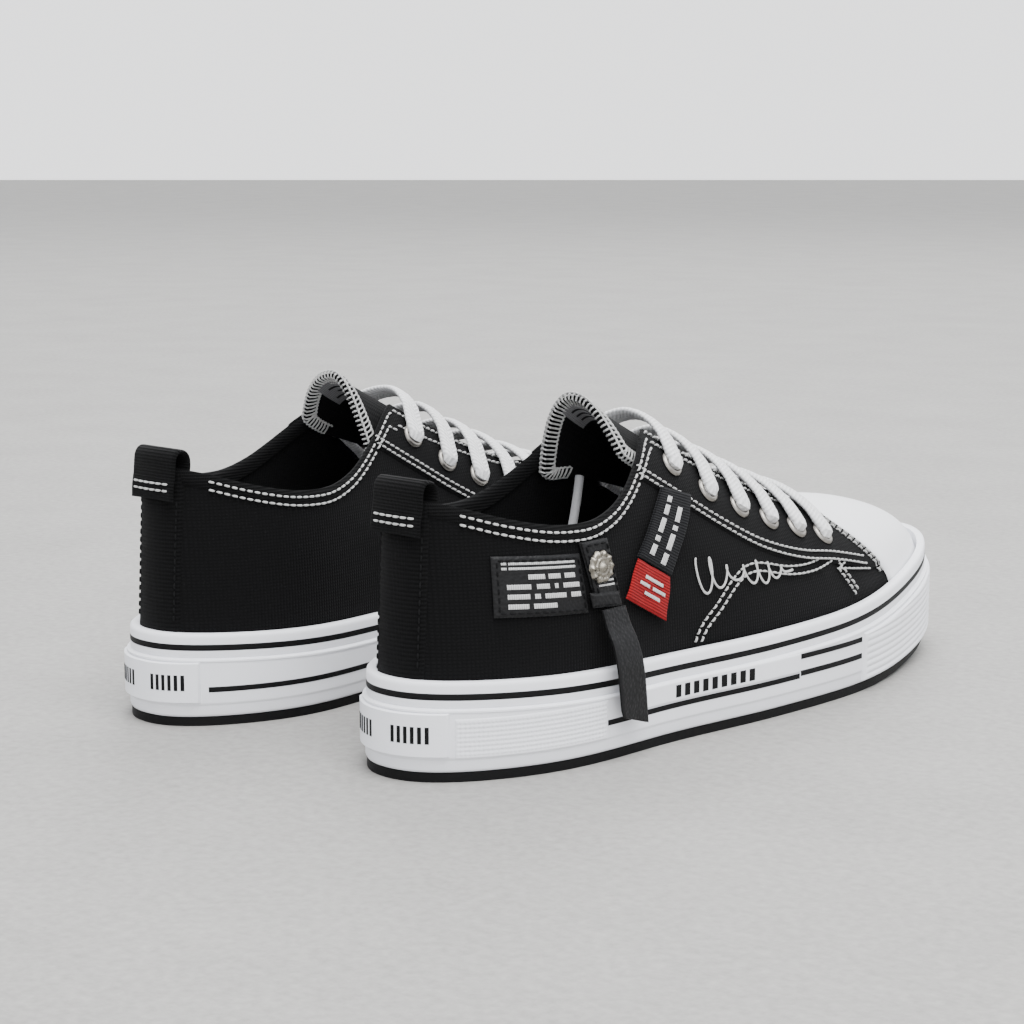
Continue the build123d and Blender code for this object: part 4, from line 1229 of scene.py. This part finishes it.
def make_lace_end(shoe):
    """The free end of the lace, from below the tongue on to the footbed."""
    data = bpy.data.curves.new(f"{shoe}_lace_end", "CURVE")
    data.dimensions = "3D"
    spline = data.splines.new("NURBS")
    spline.points.add(len(END_ROUTE) - 1)
    for point, where in zip(spline.points, place(END_ROUTE, shoe)):
        point.co = (*where, 1)
    spline.order_u = 3
    spline.use_endpoint_u = True
    spline.resolution_u = 16
    data.bevel_depth, data.bevel_resolution, data.use_fill_caps = END_RADIUS, 4, True
    # The end takes the white lace darkened to grey, as painted shade inside the shoe.
    data.materials.append(lace_painted_shade)
    cord = add_object(f"{shoe}_lace_end_look", data)
    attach(cord, f"{shoe}_shoe")
    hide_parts(f"{shoe}_lace_end")


# ---- leather, tags and stud on the lateral side
PATCH = [(23.6, 48.8), (55.6, 46.8), (53.4, 65.4), (23.6, 67.4)]
STRAP = [(58.6, 48.6), (69.4, 48.0), (64.9, 68.8), (53.6, 68.6)]
KEEPER = [(56.2, 48.3), (68.8, 47.5), (67.5, 52.3), (55.1, 53.1)]
TAG = [(78.6, 61.2), (93.2, 53.2), (111.6, 76.4), (97.4, 80.6)]
RED_TAG = [(70.9, 49.2), (89.3, 39.3), (92.8, 52.8), (78.3, 60.7)]


def on_quad(corners, u, v):
    """(y, z) inside a four-cornered outline, u along its bottom and v up its sides."""
    a, b, c, d = np.array(corners, float)
    u, v = u[..., None], v[..., None]
    return (a * (1 - u) + b * u) * (1 - v) + (d * (1 - u) + c * u) * v


def quad_size(corners):
    """The lengths of an outline's bottom and of its first side."""
    return [np.linalg.norm(np.subtract(corners[i], corners[0])) for i in (1, 3)]


def quad_plate(soup, corners, low, high, shape=(26, 34), edge=0.9, waves=0.0, ends=(0, 1, 0, 1)):
    """A plate over the part ends = (u, u, v, v) of an outline, with rounded edges."""
    wide, tall = np.multiply(quad_size(corners), [ends[1] - ends[0], ends[3] - ends[2]])
    s, t = np.meshgrid(fine_ends(shape[0], tall, edge), fine_ends(shape[1], wide, edge), indexing="ij")
    flat = on_quad(corners, ends[0] + (ends[1] - ends[0]) * t, ends[2] + (ends[3] - ends[2]) * s)
    inside = np.minimum.reduce([t * wide, (1 - t) * wide, s * tall, (1 - s) * tall])
    round_edge = np.sqrt(np.clip(inside / edge, 0.03, 1))
    ripple = waves * np.sin(3.1 * t * np.pi + 1.0) * np.sin(2.3 * s * np.pi)
    middle, half = (low + high) / 2, (high - low) / 2
    outer = surface(flat[..., 0], flat[..., 1], 1, middle + half * round_edge + ripple)
    inner = surface(flat[..., 0], flat[..., 1], 1, middle - half * round_edge + ripple)
    soup.shell(outer, inner, uv=np.stack([t * wide, s * tall], -1))


def quad_bars(soup, corners, bars, out):
    """Plain bars on a plate, each as (u, u, v, v)."""
    for ends in bars:
        quad_plate(soup, corners, out - BAR_HALF, out + BAR_HALF, (4, 14), 0.2, ends=ends)


def quad_stitch(soup, corners, inset, out, **style):
    """Stitches round an outline, inset from its edges."""
    wide, tall = quad_size(corners)
    u, v = inset / wide, inset / tall
    loop = [(u, v), (1 - u, v), (1 - u, 1 - v), (u, 1 - v), (u, v)]
    for (u0, v0), (u1, v1) in zip(loop, loop[1:]):
        flat = on_quad(corners, np.linspace(u0, u1, 30), np.linspace(v0, v1, 30))
        stitch(soup, *side_line(flat[:, 0], flat[:, 1], 1, out), **style)


# Plain bars in place of each printed row, from its low to its high edge as shares of the patch.
PATCH_ROWS = {
    (0.86, 0.9): [(0.08, 0.13), (0.15, 0.9)],
    (0.78, 0.82): [(0.08, 0.13), (0.15, 0.9)],
    (0.62, 0.7): [(0.34, 0.52), (0.56, 0.7), (0.75, 0.88)],
    (0.46, 0.54): [(0.12, 0.36), (0.42, 0.56), (0.62, 0.66), (0.72, 0.92)],
    (0.3, 0.38): [(0.12, 0.34), (0.39, 0.45), (0.5, 0.74), (0.8, 0.92)],
    (0.14, 0.22): [(0.12, 0.32), (0.37, 0.62)],
}


def make_leather(shoe):
    patch, prints, threads = Soup(), Soup(), Soup()
    quad_plate(patch, PATCH, 0.25, 1.5, edge=0.8)
    patch.make("side_patch", shoe, leather_black)
    for (low, high), bars in PATCH_ROWS.items():
        quad_bars(prints, PATCH, [(*bar, low, high) for bar in bars], 1.5)
    quad_bars(prints, STRAP, [(0.18, 0.82, 0.3, 0.33), (0.18, 0.82, 0.37, 0.4)], STRAP_LAYER)
    prints.make("patch_marks", shoe, print_white)
    quad_stitch(threads, PATCH, 1.3, 1.5, radius=0.3)
    quad_stitch(threads, STRAP, 1.1, STRAP_LAYER, radius=0.26)
    threads.make("patch_stitching", shoe, thread_black, slot="black_leather")
    strap = Soup()
    quad_plate(strap, STRAP, 1.5, STRAP_LAYER, edge=0.8)
    quad_plate(strap, STRAP, 0.25, 1.45, edge=0.5)
    quad_plate(strap, KEEPER, STRAP_LAYER - 1.2, STRAP_LAYER + 0.7, edge=1.0)
    strap.make("strap_anchor", shoe, leather_black)


TAIL_ROUTE = [
    (36.6, 47.6), (38.3, 42.0), (40.6, 37.0), (42.0, 31.5), (42.6, 26.0), (42.9, 18.0), (43.1, 11.0)
]


def make_strap_tail(shoe):
    """Two layers of leather that hang from the keeper, cut on a slant."""
    soup = Soup()
    path = curve(TAIL_ROUTE, 70)
    share = np.linspace(0, 1, 70)[:, None]
    v = np.linspace(0, 1, 26)[None, :]
    drop = path[:, 1:]
    rear = smooth((10, 60.0), (26, 58.4), (40, 57.6), (48, 57.0))(drop)
    front = smooth((10, 71.8), (26, 70.4), (40, 68.8), (48, 67.8))(drop)
    normal = unit(np.gradient(path, axis=0)[:, ::-1] * [-1, 1])
    normal *= np.sign(normal[:, :1] + 1e-9)
    slant = 3.6 * (1 - v) * np.clip((share - 0.85) / 0.15, 0, 1)
    for low, high, shrink in ((0.05, 0.8, 0.35), (0.85, 1.6, 0.0)):
        y = rear + shrink + (front - rear - 2 * shrink) * v
        inside = np.minimum.reduce([y - rear - shrink, front - shrink - y, (1 - share) * 38 + 0 * v])
        edge = np.sqrt(np.clip(inside / 0.5, 0.04, 1))
        faces = []
        for level in (high, low):
            depth = (low + high) / 2 + np.sign(level - (low + high) / 2) * (high - low) / 2 * edge
            x = path[:, :1] + depth * normal[:, :1] + 0.25 * np.sin(3 * share) * (v - 0.5)
            z = path[:, 1:] + depth * normal[:, 1:] + slant
            faces.append(np.stack([x, y, z], -1))
        soup.shell(*faces, uv=np.stack([y, share * 38 + 0 * v], -1))
    soup.make("strap_tail", shoe, leather_black, body="strap_tail")


def make_badge(shoe):
    """A round stud with a petalled rim and a domed middle, of a plain design."""
    soup = Soup()
    centre, normal, along, across = spot(*BADGE_AT, 1, STRAP_LAYER + 0.1)
    share = np.linspace(0, 1, 26)[:, None]
    angle = np.linspace(0, 2 * np.pi, 97)[None, :]
    petals = np.cos(10 * angle)
    radius = 5.1 * share * (1 + 0.045 * petals * share**3)
    dome = 1.5 * np.exp(-((share / 0.3) ** 2)) + 0.55 * np.exp(-(((share - 0.5) / 0.09) ** 2))
    leaves = 0.8 * np.exp(-(((share - 0.78) / 0.15) ** 2)) * (0.62 + 0.38 * petals)
    height = 0.8 * np.sqrt(np.clip((1 - share) / 0.12, 0, 1)) + dome + leaves
    height = height + 0.12 * np.cos(20 * angle + 14 * share) * share
    flat = radius[..., None] * (np.cos(angle)[..., None] * along + np.sin(angle)[..., None] * across)
    soup.shell(centre + flat + height[..., None] * normal, centre + flat * 0.98, uv=flat[..., 1:])
    soup.make("badge", shoe, old_silver)


def make_tags(shoe):
    black, red, marks, red_marks = Soup(), Soup(), Soup(), Soup()
    quad_plate(black, TAG, 1.5, 2.25, (40, 26), 0.7, 0.18)
    quad_plate(black, TAG, 2.35, 3.2, (40, 26), 0.7, 0.18)
    black.make("black_tag", shoe, tape_charcoal, body="black_tag")
    upper_row = ((0.1, 0.24), (0.29, 0.36), (0.41, 0.6), (0.65, 0.78), (0.82, 0.9))
    lower_row = ((0.06, 0.2), (0.25, 0.45), (0.5, 0.56), (0.61, 0.8))
    rows = [(0.2, 0.34, *bar) for bar in upper_row] + [(0.58, 0.72, *bar) for bar in lower_row]
    quad_bars(marks, TAG, rows, 3.35)
    marks.make("black_tag_marks", shoe, print_white, body="black_tag")
    quad_plate(red, RED_TAG, 1.9, 3.1, (26, 26), 0.7, 0.2)
    red.make("red_tag", shoe, tape_red, body="red_tag")
    rows = [(0.28, 0.78, 0.66, 0.74), (0.18, 0.44, 0.48, 0.56), (0.52, 0.86, 0.48, 0.56)]
    rows += [(0.34, 0.74, 0.3, 0.38)]
    quad_bars(red_marks, RED_TAG, rows, 3.27)
    red_marks.make("red_tag_marks", shoe, print_white, body="red_tag")


# ---- nodes whose CAD shape is kept
KEPT = {"midsole": rubber_white, "insole_board": fibre_board, "heel_counter": canvas_black}

MAKERS = [
    make_foxing, make_rand, make_stripes, make_labels, make_bumper, make_outsole, make_sockliner, make_canvas,
    make_toe_cap, make_eyestays, make_binding, make_backstay, make_pull_loop, make_tongue, make_overlock,
    make_tongue_label, make_stitching, make_embroidery, make_eyelets, make_lace, make_lace_end, make_leather,
    make_strap_tail, make_badge, make_tags,
]

for shoe in SHOES:
    for make in MAKERS:
        make(shoe)
    for node, material in KEPT.items():
        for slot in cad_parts[f"{shoe}_{node}"].material_slots:
            slot.material = material
